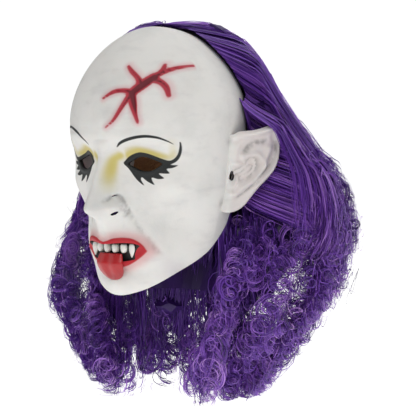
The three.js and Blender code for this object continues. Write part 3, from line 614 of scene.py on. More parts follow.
at = vertex_places(face)
x, y, drop = at[:, 0], at[:, 1], -at[:, 2]
ahead = ease(-y, 8, 20)
paint = painted_reach(x, drop)
far_off = -40 * (1 - ahead)
add_attribute(face, "black_line", np.maximum(paint["liner"], paint["brow"]) + far_off)
add_attribute(face, "lips", paint["lips"] + far_off)
add_attribute(face, "gash", paint["gash"] + far_off)
away = np.abs(x)
lid = ease(paint["liner"], -9.5, -0.5) * ease(drop, 121, 112) * ease(away, 14, 19) * ease(away, 60, 47)
YELLOW_SIDE = [(13.0, 113.0, 0), (8.8, 116.5, 0), (7.6, 124.0, 0), (7.4, 134.0, 0), (8.2, 144.0, 0)]
nose_side = bell(reach_of_line(YELLOW_SIDE, away, drop), 4.2) * (0.95 - 0.75 * ease(drop, 122, 150))
add_attribute(face, "yellow", np.maximum(lid, nose_side) * ahead)
flush = bell(np.minimum(paint["lips"], 0) / 1.0, 6.5) * 0.8
add_attribute(face, "flush", flush * ahead)
wing = reach_of_line(ALAR_CREASE, away, drop)
fold = reach_of_line(CHEEK_FOLD, away, drop)
back, up, out = ear_plane(x, y, at[:, 2])
# Painted shade in the ear's hollows and round its root; grime and painted shade in the creases by nose, mouth
# and chin
grime_and_shade = 0.75 * bell(wing, 1.7) + 0.5 * bell(fold, 2.4) * ease(drop, 156, 164)
grime_and_shade += 0.35 * bell(below_chin_crease(x, drop), 3.5) * bell(x, 21, 4)
ear_shade = np.zeros(len(x))
for points, spread, depth in EAR_HOLLOWS:
    ear_shade = np.maximum(ear_shade, bell(reach_of_line(points, back, up), spread * 0.9))
ear_shade *= (back > 3) & (out > -2) & (out < 12)
root_shade = 0.5 * bell(back - 0.5, 4.0) * bell(up - 30, 7) + 0.8 * bell(back + 2, 4.0) * bell(up + 30, 6)
grime_and_shade += 0.85 * ear_shade + root_shade * ((out > -14) & (out < 12))
add_attribute(face, "grime_and_shade", np.clip(grime_and_shade, 0, 1))
add_attribute(face, "ear_blush", ease(back, 2, 12) * ((out > -4) & (out < 14)))
# Painted shade: grey-violet that darkens the lower jaw towards its sides and underside
add_attribute(face, "jaw", ease(drop - 205 - 0.55 * (y + 40), -6, 14) * ease(away, 26, 52))


def reach_mask(tree, name, soft, offset=0.0):
    """Turns a reach attribute into a crisp mask, soft over some millimetres."""
    read = add_node(tree, "ShaderNodeAttribute", attribute_name=name)
    ramp = add_node(tree, "ShaderNodeMapRange", interpolation_type="SMOOTHSTEP")
    ramp.inputs["From Min"].default_value = offset - soft
    ramp.inputs["From Max"].default_value = offset + soft
    tree.links.new(read.outputs["Fac"], ramp.inputs["Value"])
    return ramp.outputs["Result"]


def blend_colour(tree, under, mask, colour):
    """Lays a colour over another by a mask."""
    mix = add_node(tree, "ShaderNodeMix", data_type="RGBA")
    tree.links.new(mask, mix.inputs[0])
    tree.links.new(under, mix.inputs[6])
    mix.inputs[7].default_value = colour
    return mix.outputs[2]


def scaled_mask(tree, mask, by, share):
    """A mask broken up by a texture and taken to a share."""
    low = add_node(tree, "ShaderNodeMath", operation="MULTIPLY")
    tree.links.new(mask, low.inputs[0])
    if by is None:
        low.inputs[1].default_value = share
        return low.outputs[0]
    tree.links.new(by, low.inputs[1])
    high = add_node(tree, "ShaderNodeMath", operation="MULTIPLY")
    tree.links.new(low.outputs[0], high.inputs[0])
    high.inputs[1].default_value = share
    return high.outputs[0]


def noise_mask(tree, place, scale, low, high, detail=4.0, stretch=(1, 1, 1), rough=0.55):
    """Patches of noise between two levels."""
    mapping = add_node(tree, "ShaderNodeMapping", Scale=stretch)
    noise = add_node(tree, "ShaderNodeTexNoise", Scale=scale, Detail=detail, Roughness=rough)
    ramp = add_node(tree, "ShaderNodeMapRange", interpolation_type="SMOOTHSTEP")
    ramp.inputs["From Min"].default_value = low
    ramp.inputs["From Max"].default_value = high
    tree.links.new(place, mapping.inputs["Vector"])
    tree.links.new(mapping.outputs[0], noise.inputs["Vector"])
    tree.links.new(noise.outputs["Fac"], ramp.inputs["Value"])
    return ramp.outputs["Result"]


def mottled(tree, place, first, second, *noise):
    """A colour that turns into another in patches of noise."""
    mix = add_node(tree, "ShaderNodeMix", data_type="RGBA")
    mix.inputs[6].default_value = first
    mix.inputs[7].default_value = second
    tree.links.new(noise_mask(tree, place, *noise), mix.inputs[0])
    return mix.outputs[2]


def pitted(tree, place, shader, scale, detail, strength, distance):
    """Gives a shader fine bumps from a noise."""
    bump = add_node(tree, "ShaderNodeBump", Strength=strength, Distance=distance)
    pits = add_node(tree, "ShaderNodeTexNoise", Scale=scale, Detail=detail)
    tree.links.new(place, pits.inputs["Vector"])
    tree.links.new(pits.outputs["Fac"], bump.inputs["Height"])
    tree.links.new(bump.outputs["Normal"], shader.inputs["Normal"])


place = add_node(tree, "ShaderNodeTexCoord").outputs["Object"]
colour = mottled(tree, place, (0.79, 0.775, 0.745, 1), (0.70, 0.69, 0.665, 1), 22.0, 0.42, 0.72)
smear = noise_mask(tree, place, 42.0, 0.5, 0.78, 6.0, (1, 1, 2.2))
colour = blend_colour(tree, colour, scaled_mask(tree, smear, None, 0.22), (0.42, 0.41, 0.42, 1))
breakup = noise_mask(tree, place, 120.0, 0.3, 0.7, 5.0)
# Coats of paint from the lowest: attribute, softness, offset, share, colour
for name, soft, offset, share, paint_colour in (
    ("ear_blush", 0.5, 0.5, 0.3, (0.74, 0.60, 0.59, 1)),
    # Painted shade on the lower jaw
    ("jaw", 0.5, 0.5, 0.5, (0.50, 0.45, 0.50, 1)),
    # Grime and painted shade in the creases, and painted shade in the ear's hollows and round its root
    ("grime_and_shade", 0.5, 0.5, 0.75, (0.20, 0.185, 0.18, 1)),
    ("yellow", 0.5, 0.5, 0.9, (0.60, 0.50, 0.11, 1)),
    ("flush", 0.5, 0.5, 0.55, (0.62, 0.13, 0.14, 1)),
    ("gash", 3.2, -2.2, 0.5, (0.66, 0.20, 0.24, 1)),
    ("gash", 0.7, -0.4, 0.95, (0.44, 0.008, 0.03, 1)),
    ("gash", 0.6, 1.3, 0.85, (0.10, 0.004, 0.012, 1)),
    ("lips", 0.55, 0.0, 1.0, (0.46, 0.008, 0.018, 1)),
    ("black_line", 0.35, 0.0, 1.0, (0.012, 0.014, 0.014, 1)),
):
    mask = reach_mask(tree, name, soft, offset)
    mask = scaled_mask(tree, mask, breakup if name == "grime_and_shade" else None, share)
    colour = blend_colour(tree, colour, mask, paint_colour)
tree.links.new(colour, latex_shader.inputs["Base Color"])
rough = add_node(tree, "ShaderNodeMapRange")
rough.inputs["To Min"].default_value = 0.46
rough.inputs["To Max"].default_value = 0.6
tree.links.new(noise_mask(tree, place, 60.0, 0.3, 0.7), rough.inputs["Value"])
tree.links.new(rough.outputs["Result"], latex_shader.inputs["Roughness"])
latex_shader.inputs["Specular IOR Level"].default_value = 0.4
latex_shader.inputs["Subsurface Weight"].default_value = 0.12
latex_shader.inputs["Subsurface Radius"].default_value = (0.006, 0.003, 0.002)
latex_shader.inputs["Subsurface Scale"].default_value = 0.6
pitted(tree, place, latex_shader, 420.0, 6.0, 0.25, 0.0006)

place = add_node(inside_tree, "ShaderNodeTexCoord").outputs["Object"]
bare = mottled(inside_tree, place, (0.40, 0.21, 0.10, 1), (0.30, 0.15, 0.07, 1), 30.0, 0.35, 0.7)
inside_tree.links.new(bare, inside_shader.inputs["Base Color"])
inside_shader.inputs["Roughness"].default_value = 0.7
place = add_node(mouth_tree, "ShaderNodeTexCoord").outputs["Object"]
dark = mottled(mouth_tree, place, (0.006, 0.005, 0.005, 1), (0.02, 0.012, 0.012, 1), 90.0, 0.35, 0.7)
mouth_tree.links.new(dark, mouth_shader.inputs["Base Color"])
mouth_shader.inputs["Roughness"].default_value = 0.5
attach(face, "root")
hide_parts("face_shell")


# Teeth: six separate cast teeth of glossy ivory-white resin, four rounded incisors and two pointed fangs.
# Each is a ball drawn out to a crown that stands on the black floor of the mouth.
enamel, tree, shader = new_material("ivory_enamel")
place = add_node(tree, "ShaderNodeTexCoord").outputs["Object"]
ivory = mottled(tree, place, (0.86, 0.85, 0.81, 1), (0.72, 0.69, 0.60, 1), 160.0, 0.4, 0.8)
tree.links.new(ivory, shader.inputs["Base Color"])
shader.inputs["Roughness"].default_value = 0.28
shader.inputs["Subsurface Weight"].default_value = 0.1
shader.inputs["Subsurface Scale"].default_value = 0.002
pitted(tree, place, shader, 300.0, 3.0, 0.2, 0.0003)
# Outline of a tooth from its gum to its tip: down, then half width for an incisor and for a fang
TOOTH_FORM = np.array([
    (0.0, 0.55, 0.62), (0.1, 0.84, 0.84), (0.3, 0.98, 1.0), (0.55, 1.0, 0.9), (0.75, 0.93, 0.62),
    (0.9, 0.74, 0.34), (1.0, 0.4, 0.1)])
for node in ("central_incisor", "lateral_incisor", "fang"):
    for hand in ("left", "right"):
        low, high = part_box(f"{node}_{hand}")
        centre = (np.array(low) + np.array(high)) / 2 / MM
        half = (np.array(high) - np.array(low)) / 2 / MM
        column = 2 if node == "fang" else 1

        def tooth_point(down, turn):
            width = along(TOOTH_FORM, column, down)
            boxy = np.sign(np.sin(turn)) * np.abs(np.sin(turn)) ** 0.8
            px = centre[0] + half[0] * width * boxy
            lean = 0.8 * down * half[1] * 0.35
            py = centre[1] - half[1] * np.cos(turn) * (0.62 + 0.38 * width) + lean * (np.cos(turn) > 0)
            pz = centre[2] + half[2] - 2 * half[2] * down + 0 * turn
            return np.stack([px + 0 * pz, py + 0 * pz, pz], axis=-1)

        tooth = shaped_ball(f"{node}_{hand}_enamel", np.linspace(0.0, 1.0, 14),
                            np.linspace(0, 2 * math.pi, 25)[:-1], tooth_point)
        recalculate(tooth)
        bpy.ops.object.shade_smooth()
        tooth.data.materials.append(enamel)
        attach(tooth, "root")
        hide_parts(f"{node}_{hand}")


# Tongue: one solid red cast of soft latex, hollowed along its middle, glossy with clear lacquer.
# A ball is drawn out along the curve over the lower lip, as wide and thick as each place of the real one.
TONGUE = np.array([
    # down, lift, width, thick
    (0.0, -0.75, 0.8, 0.6), (0.16, -0.35, 0.9, 0.85), (0.34, 0.0, 0.94, 1.0), (0.6, 0.1, 0.88, 1.0),
    (0.76, 0.05, 0.74, 0.9), (0.87, 0.0, 0.54, 0.75), (0.94, -0.05, 0.32, 0.5), (0.97, -0.1, 0.12, 0.25)])
tongue_root = MOUTH_DROP - 0.27 * MOUTH_HEIGHT + 8.8
tongue_downs = np.concatenate([np.linspace(0, 0.84, 34), np.linspace(0.86, 0.97, 14)])


def tongue_point(down, turn):
    drop = tongue_root + down * 26.0
    lip = -np.mean([face_form(drop + k, 0 * down)[..., 1] for k in (-9, -6, -3, 0, 3)], axis=0)
    lip = lip + along(TONGUE, 1, down) * 9.0
    across, ahead = np.sin(turn), np.cos(turn)
    groove = 0.24 * bell(across, 0.26) * ease(down, 1.0, 0.55) - 0.1 * bell(np.abs(across) - 0.45, 0.25)
    groove = np.where(ahead > 0, groove, 0)
    depth = lip + 4.5 * along(TONGUE, 3, down) * (1 - groove) * ahead
    return np.stack([along(TONGUE, 2, down) * 14.5 * across + 0 * depth, -depth, -drop + 0 * depth], axis=-1)


tongue = shaped_ball("tongue_cast", tongue_downs, np.linspace(0, 2 * math.pi, 49)[:-1], tongue_point)
recalculate(tongue)
bpy.ops.object.shade_smooth()
red, tree, shader = new_material("red_lacquer")
place = add_node(tree, "ShaderNodeTexCoord").outputs["Object"]
tongue_red = mottled(tree, place, (0.46, 0.006, 0.010, 1), (0.33, 0.004, 0.008, 1), 55.0, 0.35, 0.7)
tree.links.new(tongue_red, shader.inputs["Base Color"])
shader.inputs["Roughness"].default_value = 0.3
shader.inputs["Coat Weight"].default_value = 0.3
shader.inputs["Coat Roughness"].default_value = 0.2
pitted(tree, place, shader, 500.0, 2.0, 0.35, 0.0005)
tongue.data.materials.append(red)
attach(tongue, "root")
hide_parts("tongue")


# Wig cap: a close black net cap, knotted and sewn along its front edge, that holds the hair over the latex.
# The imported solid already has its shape, so it only gets the look of black netting, brown on its inner side.
net, tree, shader = new_material("black_net")
place = add_node(tree, "ShaderNodeTexCoord").outputs["Object"]
cells = add_node(tree, "ShaderNodeTexVoronoi", Scale=420.0, feature="DISTANCE_TO_EDGE")
threads = add_node(tree, "ShaderNodeMapRange")
threads.inputs["From Max"].default_value = 0.12
tree.links.new(place, cells.inputs["Vector"])
tree.links.new(cells.outputs["Distance"], threads.inputs["Value"])
knit = add_node(tree, "ShaderNodeMix", data_type="RGBA")
knit.inputs[6].default_value = (0.03, 0.028, 0.036, 1)
knit.inputs[7].default_value = (0.004, 0.004, 0.006, 1)
tree.links.new(threads.outputs["Result"], knit.inputs[0])
from_centre = add_node(tree, "ShaderNodeVectorMath", operation="ADD")
tree.links.new(place, from_centre.inputs[0])
from_centre.inputs[1].default_value = (0, -0.02, 0.1)
facing = add_node(tree, "ShaderNodeVectorMath", operation="DOT_PRODUCT")
tree.links.new(from_centre.outputs[0], facing.inputs[0])
tree.links.new(add_node(tree, "ShaderNodeNewGeometry").outputs["Normal"], facing.inputs[1])
inward = add_node(tree, "ShaderNodeMath", operation="LESS_THAN")
tree.links.new(facing.outputs["Value"], inward.inputs[0])
inward.inputs[1].default_value = -0.05
lined = blend_colour(tree, knit.outputs[2], inward.outputs[0], (0.42, 0.21, 0.09, 1))
tree.links.new(lined, shader.inputs["Base Color"])
shader.inputs["Roughness"].default_value = 0.85
bump = add_node(tree, "ShaderNodeBump", Strength=0.6, Distance=0.0006, invert=True)
tree.links.new(threads.outputs["Result"], bump.inputs["Height"])
tree.links.new(bump.outputs["Normal"], shader.inputs["Normal"])
cap_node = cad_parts["wig_cap"]
cap_node.data.materials.clear()
cap_node.data.materials.append(net)


# Hair: long purple synthetic fibre, knotted into the cap, parted on the crown, combed smooth to the ears and
# set in ringlets below. An under-layer, coloured near black as painted shade, fills its middle. It is the
# imported hair drawn in on all sides, and the sections after it lay fine flat ribbons over it: combed locks,
# ringlets, straight hair, tufts and frizz.
HAIR_HALF_WIDTH, HAIR_DEPTH, HAIR_LENGTH = 165.0, 98.0, 347.0
NECK_HALF_WIDTH, NECK_BACK = 62.0, 74.0
NECK_CENTRE = NECK_BACK - NECK_HALF_WIDTH
CAP_OUTSIDE = LATEX_WALL + 2.8
# Furthest that hair reaches sideways, back and down before it is pressed in, and the room it is pressed into
HAIR_REACH, PRESSED_ROOM = (154, 176, 342), 16
HAIR_SECTIONS = np.array([
    # place, side, right, deep, centre
    (-0.044, 0.0, 1.0, 0.0, 0.33), (-0.03, 0.2, 1.0, 0.32, 0.33), (0.0, 0.33, 1.0, 0.49, 0.41),
    (0.032, 0.415, 1.0, 0.61, 0.45), (0.087, 0.495, 0.97, 0.755, 0.51), (0.18, 0.59, 0.92, 0.88, 0.57),
    (0.256, 0.69, 0.82, 0.94, 0.63), (0.326, 0.79, 0.78, 0.98, 0.69), (0.4, 0.91, 0.76, 1.0, 0.78),
    (0.54, 1.0, 0.83, 1.0, 0.9), (0.625, 0.97, 0.96, 0.96, 0.86), (0.71, 0.92, 1.06, 0.9, 0.8),
    (0.775, 0.845, 1.12, 0.82, 0.71), (0.827, 0.77, 1.15, 0.735, 0.65), (0.893, 0.67, 1.18, 0.65, 0.59),
    (1.0, 0.5, 1.25, 0.5, 0.53)])
# Front edge of the hair: drop, back
HAIR_FRONT = np.array([
    (-0.2, 0.38), (0.0, 0.39), (0.1, 0.44), (0.19, 0.5), (0.245, 0.57), (0.285, 0.38), (0.315, 0.52),
    (0.38, 0.54), (0.62, 0.54), (0.7, 0.42), (0.78, 0.2), (0.9, 0.08), (1.1, 0.0), (1.6, 0.0)])
dice = np.random.default_rng(7)


def hair_point(drop, turn, inset):
    """Point of the hair's outer form at a drop and a turn from straight ahead."""
    at = drop / HAIR_LENGTH
    right = np.where(np.sin(turn) < 0, along(HAIR_SECTIONS, 2, at), 1)
    side = np.maximum(along(HAIR_SECTIONS, 1, at) * HAIR_HALF_WIDTH * right - inset, 0)
    deep = np.maximum(along(HAIR_SECTIONS, 3, at) * HAIR_DEPTH - inset, 0)
    centre = along(HAIR_SECTIONS, 4, at) * HAIR_DEPTH
    return np.stack([side * np.sin(turn), centre - deep * np.cos(turn), -drop + 0 * turn], axis=-1)


def front_edge(drop):
    """How far back the front of the hair lies at a drop."""
    return along(HAIR_FRONT, 1, drop / CROWN_TO_CHIN) * HEAD_BACK


def front_turn(drop):
    """The turn where the hair's front edge crosses its outer form."""
    at = drop / HAIR_LENGTH
    deep = along(HAIR_SECTIONS, 3, at) * HAIR_DEPTH
    centre = along(HAIR_SECTIONS, 4, at) * HAIR_DEPTH
    return np.arccos(np.clip((centre - front_edge(drop)) / np.maximum(deep, 1), -1, 1))


def unit(vectors):
    return vectors / (np.linalg.norm(vectors, axis=-1, keepdims=True) + 1e-9)


def ribbons(name, paths, widths, tones):
    """One mesh of flat ribbons along paths (count, steps, 3) in millimetres, each with its own tone."""
    count, steps, _ = paths.shape
    beyond = np.maximum(np.abs(paths) - HAIR_REACH, 0)
    pressed = PRESSED_ROOM * (1 - np.exp(-beyond / PRESSED_ROOM))
    paths = np.sign(paths) * (np.minimum(np.abs(paths), HAIR_REACH) + pressed)
    ahead = unit(np.gradient(paths, axis=1))
    facing = unit((paths - np.array([0, 45.0, -150.0])) * (1, 1, 0.3))
    facing = facing + 0.55 * unit(dice.normal(0, 1, (count, 1, 3)))
    across = unit(np.cross(ahead, facing))
    share = np.linspace(0.06, 0.985, steps)
    taper = np.sin(share ** 0.6 * math.pi) ** 0.5
    half = across * (widths[:, None] * taper[None, :] / 2)[..., None]
    points = np.stack([paths - half, paths + half], axis=2).reshape(-1, 3)
    base = (np.arange(count) * steps * 2)[:, None] + (np.arange(steps - 1) * 2)[None, :]
    faces = np.stack([base, base + 1, base + 3, base + 2], axis=-1).reshape(-1, 4)
    mesh = bpy.data.meshes.new(name)
    mesh.vertices.add(len(points))
    mesh.vertices.foreach_set("co", (points * MM).ravel())
    mesh.loops.add(faces.size)
    mesh.loops.foreach_set("vertex_index", faces.ravel())
    mesh.polygons.add(len(faces))
    mesh.polygons.foreach_set("loop_start", np.arange(0, faces.size, 4))
    mesh.polygons.foreach_set("use_smooth", np.ones(len(faces), bool))
    mesh.update(calc_edges=True)
    made = bpy.data.objects.new(name, mesh)
    bpy.context.scene.collection.objects.link(made)
    add_attribute(made, "tone", np.repeat(tones, steps * 2))
    made.data.materials.append(fibre)
    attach(made, "root")


fibre, tree, shader = new_material("purple_fibre")
tone = add_node(tree, "ShaderNodeAttribute", attribute_name="tone").outputs["Fac"]
place = add_node(tree, "ShaderNodeTexCoord").outputs["Object"]
patch = noise_mask(tree, place, 16.0, 0.3, 0.75, 3.0)
shift = add_node(tree, "ShaderNodeMath", operation="MULTIPLY_ADD")
tree.links.new(patch, shift.inputs[0])
shift.inputs[1].default_value = 0.16
tree.links.new(tone, shift.inputs[2])
dye = add_node(tree, "ShaderNodeValToRGB")
dye.color_ramp.elements[0].color = (0.010, 0.004, 0.032, 1)
dye.color_ramp.elements[1].color = (0.62, 0.36, 0.80, 1)
for position, shade in (
    (0.18, (0.05, 0.014, 0.15, 1)),
    (0.42, (0.15, 0.045, 0.40, 1)),
    (0.7, (0.32, 0.125, 0.60, 1)),
):
    dye.color_ramp.elements.new(position).color = shade
tree.links.new(shift.outputs[0], dye.inputs["Fac"])
tree.links.new(dye.outputs["Color"], shader.inputs["Base Color"])
shader.inputs["Roughness"].default_value = 0.38
shader.inputs["Specular IOR Level"].default_value = 0.45

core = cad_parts["hair"].copy()
core.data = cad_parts["hair"].data.copy()
core.name = "hair_under_layer"
core.parent = None
bpy.context.scene.collection.objects.link(core)
for key in list(core.keys()):
    del core[key]
select_only(core)
bpy.ops.object.mode_set(mode="EDIT")
bpy.ops.mesh.select_all(action="SELECT")
bpy.ops.mesh.remove_doubles(threshold=1e-5)
bpy.ops.object.mode_set(mode="OBJECT")
co = vertex_places(core)
drop = -co[:, 2]
co[:, 1] += 15 * (1 - ease(co[:, 1] - front_edge(drop), 0, 34))
beyond = np.maximum(np.abs(co[:, 0]) - NECK_HALF_WIDTH, 0)
co[:, 0] -= np.sign(co[:, 0]) * beyond * (0.12 + 0.3 * ease(drop, 120, 260))
behind_neck = np.maximum(co[:, 1] - NECK_BACK, 0)
co[:, 1] -= behind_neck * (0.08 + 0.22 * ease(drop, 120, 260))
co[:, 2] += 0.42 * np.maximum(drop - 200, 0)
angle = np.arctan2(co[:, 0], -co[:, 1])
head_x, head_y = head_form(np.clip(drop, -5.2, 240), angle, CAP_OUTSIDE)
away_from_axis = np.hypot(co[:, 0], co[:, 1]) + 1e-9
excess = np.maximum(away_from_axis - np.hypot(head_x, head_y), 0)
co[:, :2] *= (1 - np.minimum(excess * 0.85, 8) / away_from_axis)[:, None]
co[:, 2] -= np.clip((co[:, 2] - CAP_OUTSIDE) * 0.85, 0, 9)
far_side = (co[:, 0] < 0) * ease(drop, 60, 100) * ease(drop, 250, 190)
co[:, 0] += 0.16 * far_side * np.maximum(-co[:, 0] - 70, 0)
from_neck = np.stack([co[:, 0], np.maximum(co[:, 1] - NECK_CENTRE, 0)], axis=-1)
reach = np.linalg.norm(from_neck, axis=-1, keepdims=True) + 1e-9
at_wall = (np.abs(reach - NECK_HALF_WIDTH) < 2.5) * ease(drop, 130, 150)[:, None]
co[:, :2] += 5 * at_wall * from_neck / reach
core.data.vertices.foreach_set("co", (co * MM).ravel())
core.data.update()
core.data.materials.clear()
core.data.materials.append(fibre)
# Painted shade: a near-black tone for the shade deep inside the hair
add_attribute(core, "tone", np.full(len(core.data.vertices), 0.04))
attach(core, "root")
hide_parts("hair")


# Combed locks: long smooth locks of the fibre, knotted in at the hairline and the parting and combed back.
# Each runs up from its root to the hair's outer form, falls along it and turns wavy towards its end.
def falling_paths(drop, turn, hand, steps, length):
    """Paths over the hair's outer form, away from the parting at first and then falling straight down."""
    paths = np.empty((len(drop), steps, 3))
    drop, turn = drop.copy(), turn.copy()
    for k in range(steps):
        here = hair_point(drop, turn, 0)
        paths[:, k] = here
        by_drop = hair_point(drop + 0.5, turn, 0) - here
        by_turn = hair_point(drop, turn + 0.01, 0) - here
        near_crown = ease(here[:, 1], 100, 60) * ease(drop, 30, 0)
        part = hand * 0.9 * (1 - ease(np.abs(here[:, 0]), 8, 60)) * near_crown
        backward = 0.12 + 0.5 * ease(drop, 75, 5)
        wanted = np.stack([part, backward, -1 + 0 * drop], axis=-1)
        a, b, c = (by_drop ** 2).sum(-1), (by_drop * by_turn).sum(-1), (by_turn ** 2).sum(-1)
        p, q = (wanted * by_drop).sum(-1), (wanted * by_turn).sum(-1)
        det = a * c - b * b + 1e-9
        go_drop, go_turn = (p * c - q * b) / det, (q * a - p * b) / det
        move = go_drop[:, None] * by_drop + go_turn[:, None] * by_turn
        rate = length / steps / (np.linalg.norm(move, axis=-1) + 1e-9)
        drop = np.clip(drop + 0.5 * go_drop * rate, -15, HAIR_LENGTH - 4)
        turn = turn + 0.01 * go_turn * rate
    return paths


def head_place(y, height, hand, grow):
    """Places on one side of the head at a depth and a height, grown outwards."""
    side, _ = head_form(-height, 0 * height + math.pi / 2, grow)
    _, back = head_form(-height, 0 * height + math.pi, grow)
    y = np.clip(y, 0, back)
    return np.stack([hand * side * np.sqrt(1 - (y / back) ** (2 / 0.85)), y, height], axis=-1)


def combed_hair(name, hand, locks, strands):
    """Smooth locks that rise from the hairline and the parting, and turn wavy towards their ends."""
    steps = 26
    from_edge = dice.uniform(0, 1, locks) < 0.6
    lock_drop = np.where(from_edge, dice.uniform(-12, 165, locks), dice.uniform(-12.5, 70, locks))
    open_turn = math.pi - front_turn(lock_drop)
    lock_turn = front_turn(lock_drop) + open_turn * np.where(from_edge, 0.02, dice.uniform(0, 0.97, locks))
    drop = np.repeat(lock_drop, strands) + dice.normal(0, 3.0, locks * strands)
    drop = np.clip(drop, -13.2, 180)
    turn = np.repeat(lock_turn, strands) + dice.normal(0, 0.05, locks * strands)
    crown_band = 0.3 * ease(drop, 48, 20) if hand < 0 else 0.05 * ease(drop, 40, 15)
    turn = turn - crown_band * (turn < front_turn(drop) + 0.5)
    turn = np.maximum(turn, front_turn(drop) - 0.02 - crown_band)
    length = np.clip(215 - np.repeat(lock_drop, strands), 60, 225) * dice.uniform(0.75, 1.12, locks * strands)
    outer = falling_paths(drop, hand * turn, hand, steps, length)
    travelled = np.linspace(0, 1, steps)[None, :] * length[:, None]
    root = head_place(outer[..., 1] - 8, np.minimum(outer[..., 2], 4.9), hand, LATEX_WALL + 3.2)
    full = np.repeat(dice.uniform(0.8, 1.0, locks), strands) + dice.normal(0, 0.03, locks * strands)
    rise = (0.02 + (full[:, None] - 0.02) * ease(travelled, -5, 30))[..., None]
    paths = root + rise * (outer - root)
    outward = unit(outer - root)
    sideways = unit(np.cross(outward, (0, 0, 1.0)))
    behind = ease(paths[..., 1], 58, 100)
    swing = ease(-paths[..., 2], 135 - 50 * behind, 235 - 80 * behind)
    swing = swing * np.repeat(dice.uniform(3.0, 9.0, locks), strands)[:, None]
    wave = travelled * 2 * math.pi / np.repeat(dice.uniform(30, 52, locks), strands)[:, None]
    wave = wave + np.repeat(dice.uniform(0, 6.3, locks), strands)[:, None]
    wave = wave + dice.normal(0, 0.45, (len(drop), 1))
    paths = paths + (swing * np.sin(wave))[..., None] * sideways
    paths = paths + (swing * 0.6 * np.cos(wave))[..., None] * outward
    tones = np.repeat(dice.normal(0.46, 0.15, locks), strands) + dice.normal(0, 0.13, locks * strands)
    ribbons(name, paths, dice.uniform(0.7, 1.5, len(drop)), np.clip(tones, 0.02, 1))


combed_hair("combed_hair_left", 1, 125, 17)
combed_hair("combed_hair_right", -1, 115, 17)


# Ringlets: the lower half of the hair, the same fibre set in small loops over sides, back, front and nape.
# Each is a bundle of ribbons coiled round an axis that points out of the hair, with some strays.
def ringlets(name, starts, outwards, tone_level, follow=None):
    """Locks that coil in loops as they hang: one bundle of ribbons for each start point."""
    steps, strands = 30, 11
    share = np.linspace(0, 1, steps)
    bundles, tones = [], []
    for k, (start, outward) in enumerate(zip(starts, outwards)):
        loops = dice.uniform(1.6, 3.4)
        pitch = dice.uniform(5, 13)
        radius = dice.uniform(4.6, 10.0)
        aside = np.cross(outward, (0, 0, 1.0))
        lean = dice.normal(0, 0.65)
        tip = np.array([0, 0, dice.normal(0, 0.25)])
        axis = unit(outward * math.cos(lean) + aside * math.sin(lean) + tip)
        flat = unit(np.cross((0, 0, 1.0), axis))
        rising = np.cross(axis, flat)
        fall = loops * pitch + 8
        middle = start + share[:, None] * np.array([0, 0, -fall])
        if follow is not None:
            drop, turn, inset = follow[k]
            middle = hair_point(np.minimum(drop + share * fall, HAIR_LENGTH - 6), turn + 0 * share, inset)
        coil = dice.choice((-1, 1)) * 2 * math.pi * loops * share + dice.uniform(0, 6.3)
        size = radius * ease(share, -0.15, 0.35) * (1 - 0.35 * ease(share, 0.7, 1.0))
        stray = 1 + 2.0 * (dice.uniform(0, 1, strands) < 0.25)
        thick = dice.uniform(0.9, 2.4)
        phase = dice.normal(0, 0.13, strands) * stray
        along_axis = dice.normal(0, thick, strands) * stray
        grow = 1 + dice.normal(0, 0.11, strands) * stray
        turns = coil[None, :] + phase[:, None]
        reach = size[None, :] * grow[:, None]
        drift = along_axis[:, None] + dice.uniform(-5, 5) * share[None, :]
        bundle = middle[None] + (reach * np.cos(turns))[..., None] * flat
        bundle = bundle + (reach * np.sin(turns))[..., None] * rising + drift[..., None] * axis
        bundle = bundle + dice.normal(0, 1.0, (strands, 1, 3)) * (0.3 + share[None, :, None])
        bundles.append(bundle)
        level = dice.normal(tone_level, 0.15)
        tones.append(np.clip(dice.normal(level, 0.14, strands), 0.02, 1))
    paths = np.concatenate(bundles)
    ribbons(name, paths, dice.uniform(0.5, 1.15, len(paths)), np.concatenate(tones))


def outer_ringlets(name, low_turn, high_turn, count, top, tone_level=0.42):
    """Ringlets over a part of the hair's outer form."""
    drop = top + (HAIR_LENGTH - 22 - top) * dice.uniform(0, 1, count) ** 0.8
    turn = dice.uniform(low_turn, high_turn, count)
    hand = np.sign(turn)
    turn = hand * np.maximum(np.abs(turn), front_turn(drop) + 0.02)
    inset = dice.uniform(3, 17, count)
    starts = hair_point(drop, turn, inset)
    outwards = unit(np.stack([np.sin(turn), -np.cos(turn), 0 * turn], axis=-1))
    ringlets(name, starts, outwards, tone_level, list(zip(drop, turn, inset)))


outer_ringlets("side_ringlets_left", 1.3, 2.05, 125, 82, 0.47)
outer_ringlets("side_ringlets_right", -2.05, -1.3, 75, 90)
outer_ringlets("low_ringlets_left", 0.8, 1.5, 85, 160, 0.46)
outer_ringlets("low_ringlets_right", -1.5, -0.8, 60, 178)
outer_ringlets("back_ringlets_left", 2.0, 3.14, 70, 105)
outer_ringlets("back_ringlets_right", -3.14, -2.0, 70, 105)


def front_ringlets(name, hand, count):
    """Ringlets over the front of the hair beside the neck."""
    drop = dice.uniform(175, HAIR_LENGTH - 26, count)
    turn = hand * front_turn(drop)
    edge = hair_point(drop, turn, 8.0)
    share = dice.uniform(0, 1, count)
    x = hand * (NECK_HALF_WIDTH + 2 + (np.abs(edge[:, 0]) - NECK_HALF_WIDTH - 2) * share)
    y = front_edge(drop) + dice.uniform(3, 15, count)
    starts = np.stack([x, y, -drop], axis=-1)
    outwards = unit(np.stack([hand * 0.5 * share, -1 + 0 * x, 0 * x], axis=-1))
    ringlets(name, starts, outwards, 0.42)


front_ringlets("front_ringlets_left", 1, 105)
front_ringlets("front_ringlets_right", -1, 75)


def round_neck(turn, out):
    """Places round the neck opening, at a turn from straight behind and some way out from its wall."""
    reach = NECK_HALF_WIDTH + out
    return reach * np.sin(turn), NECK_CENTRE + reach * np.cos(turn)


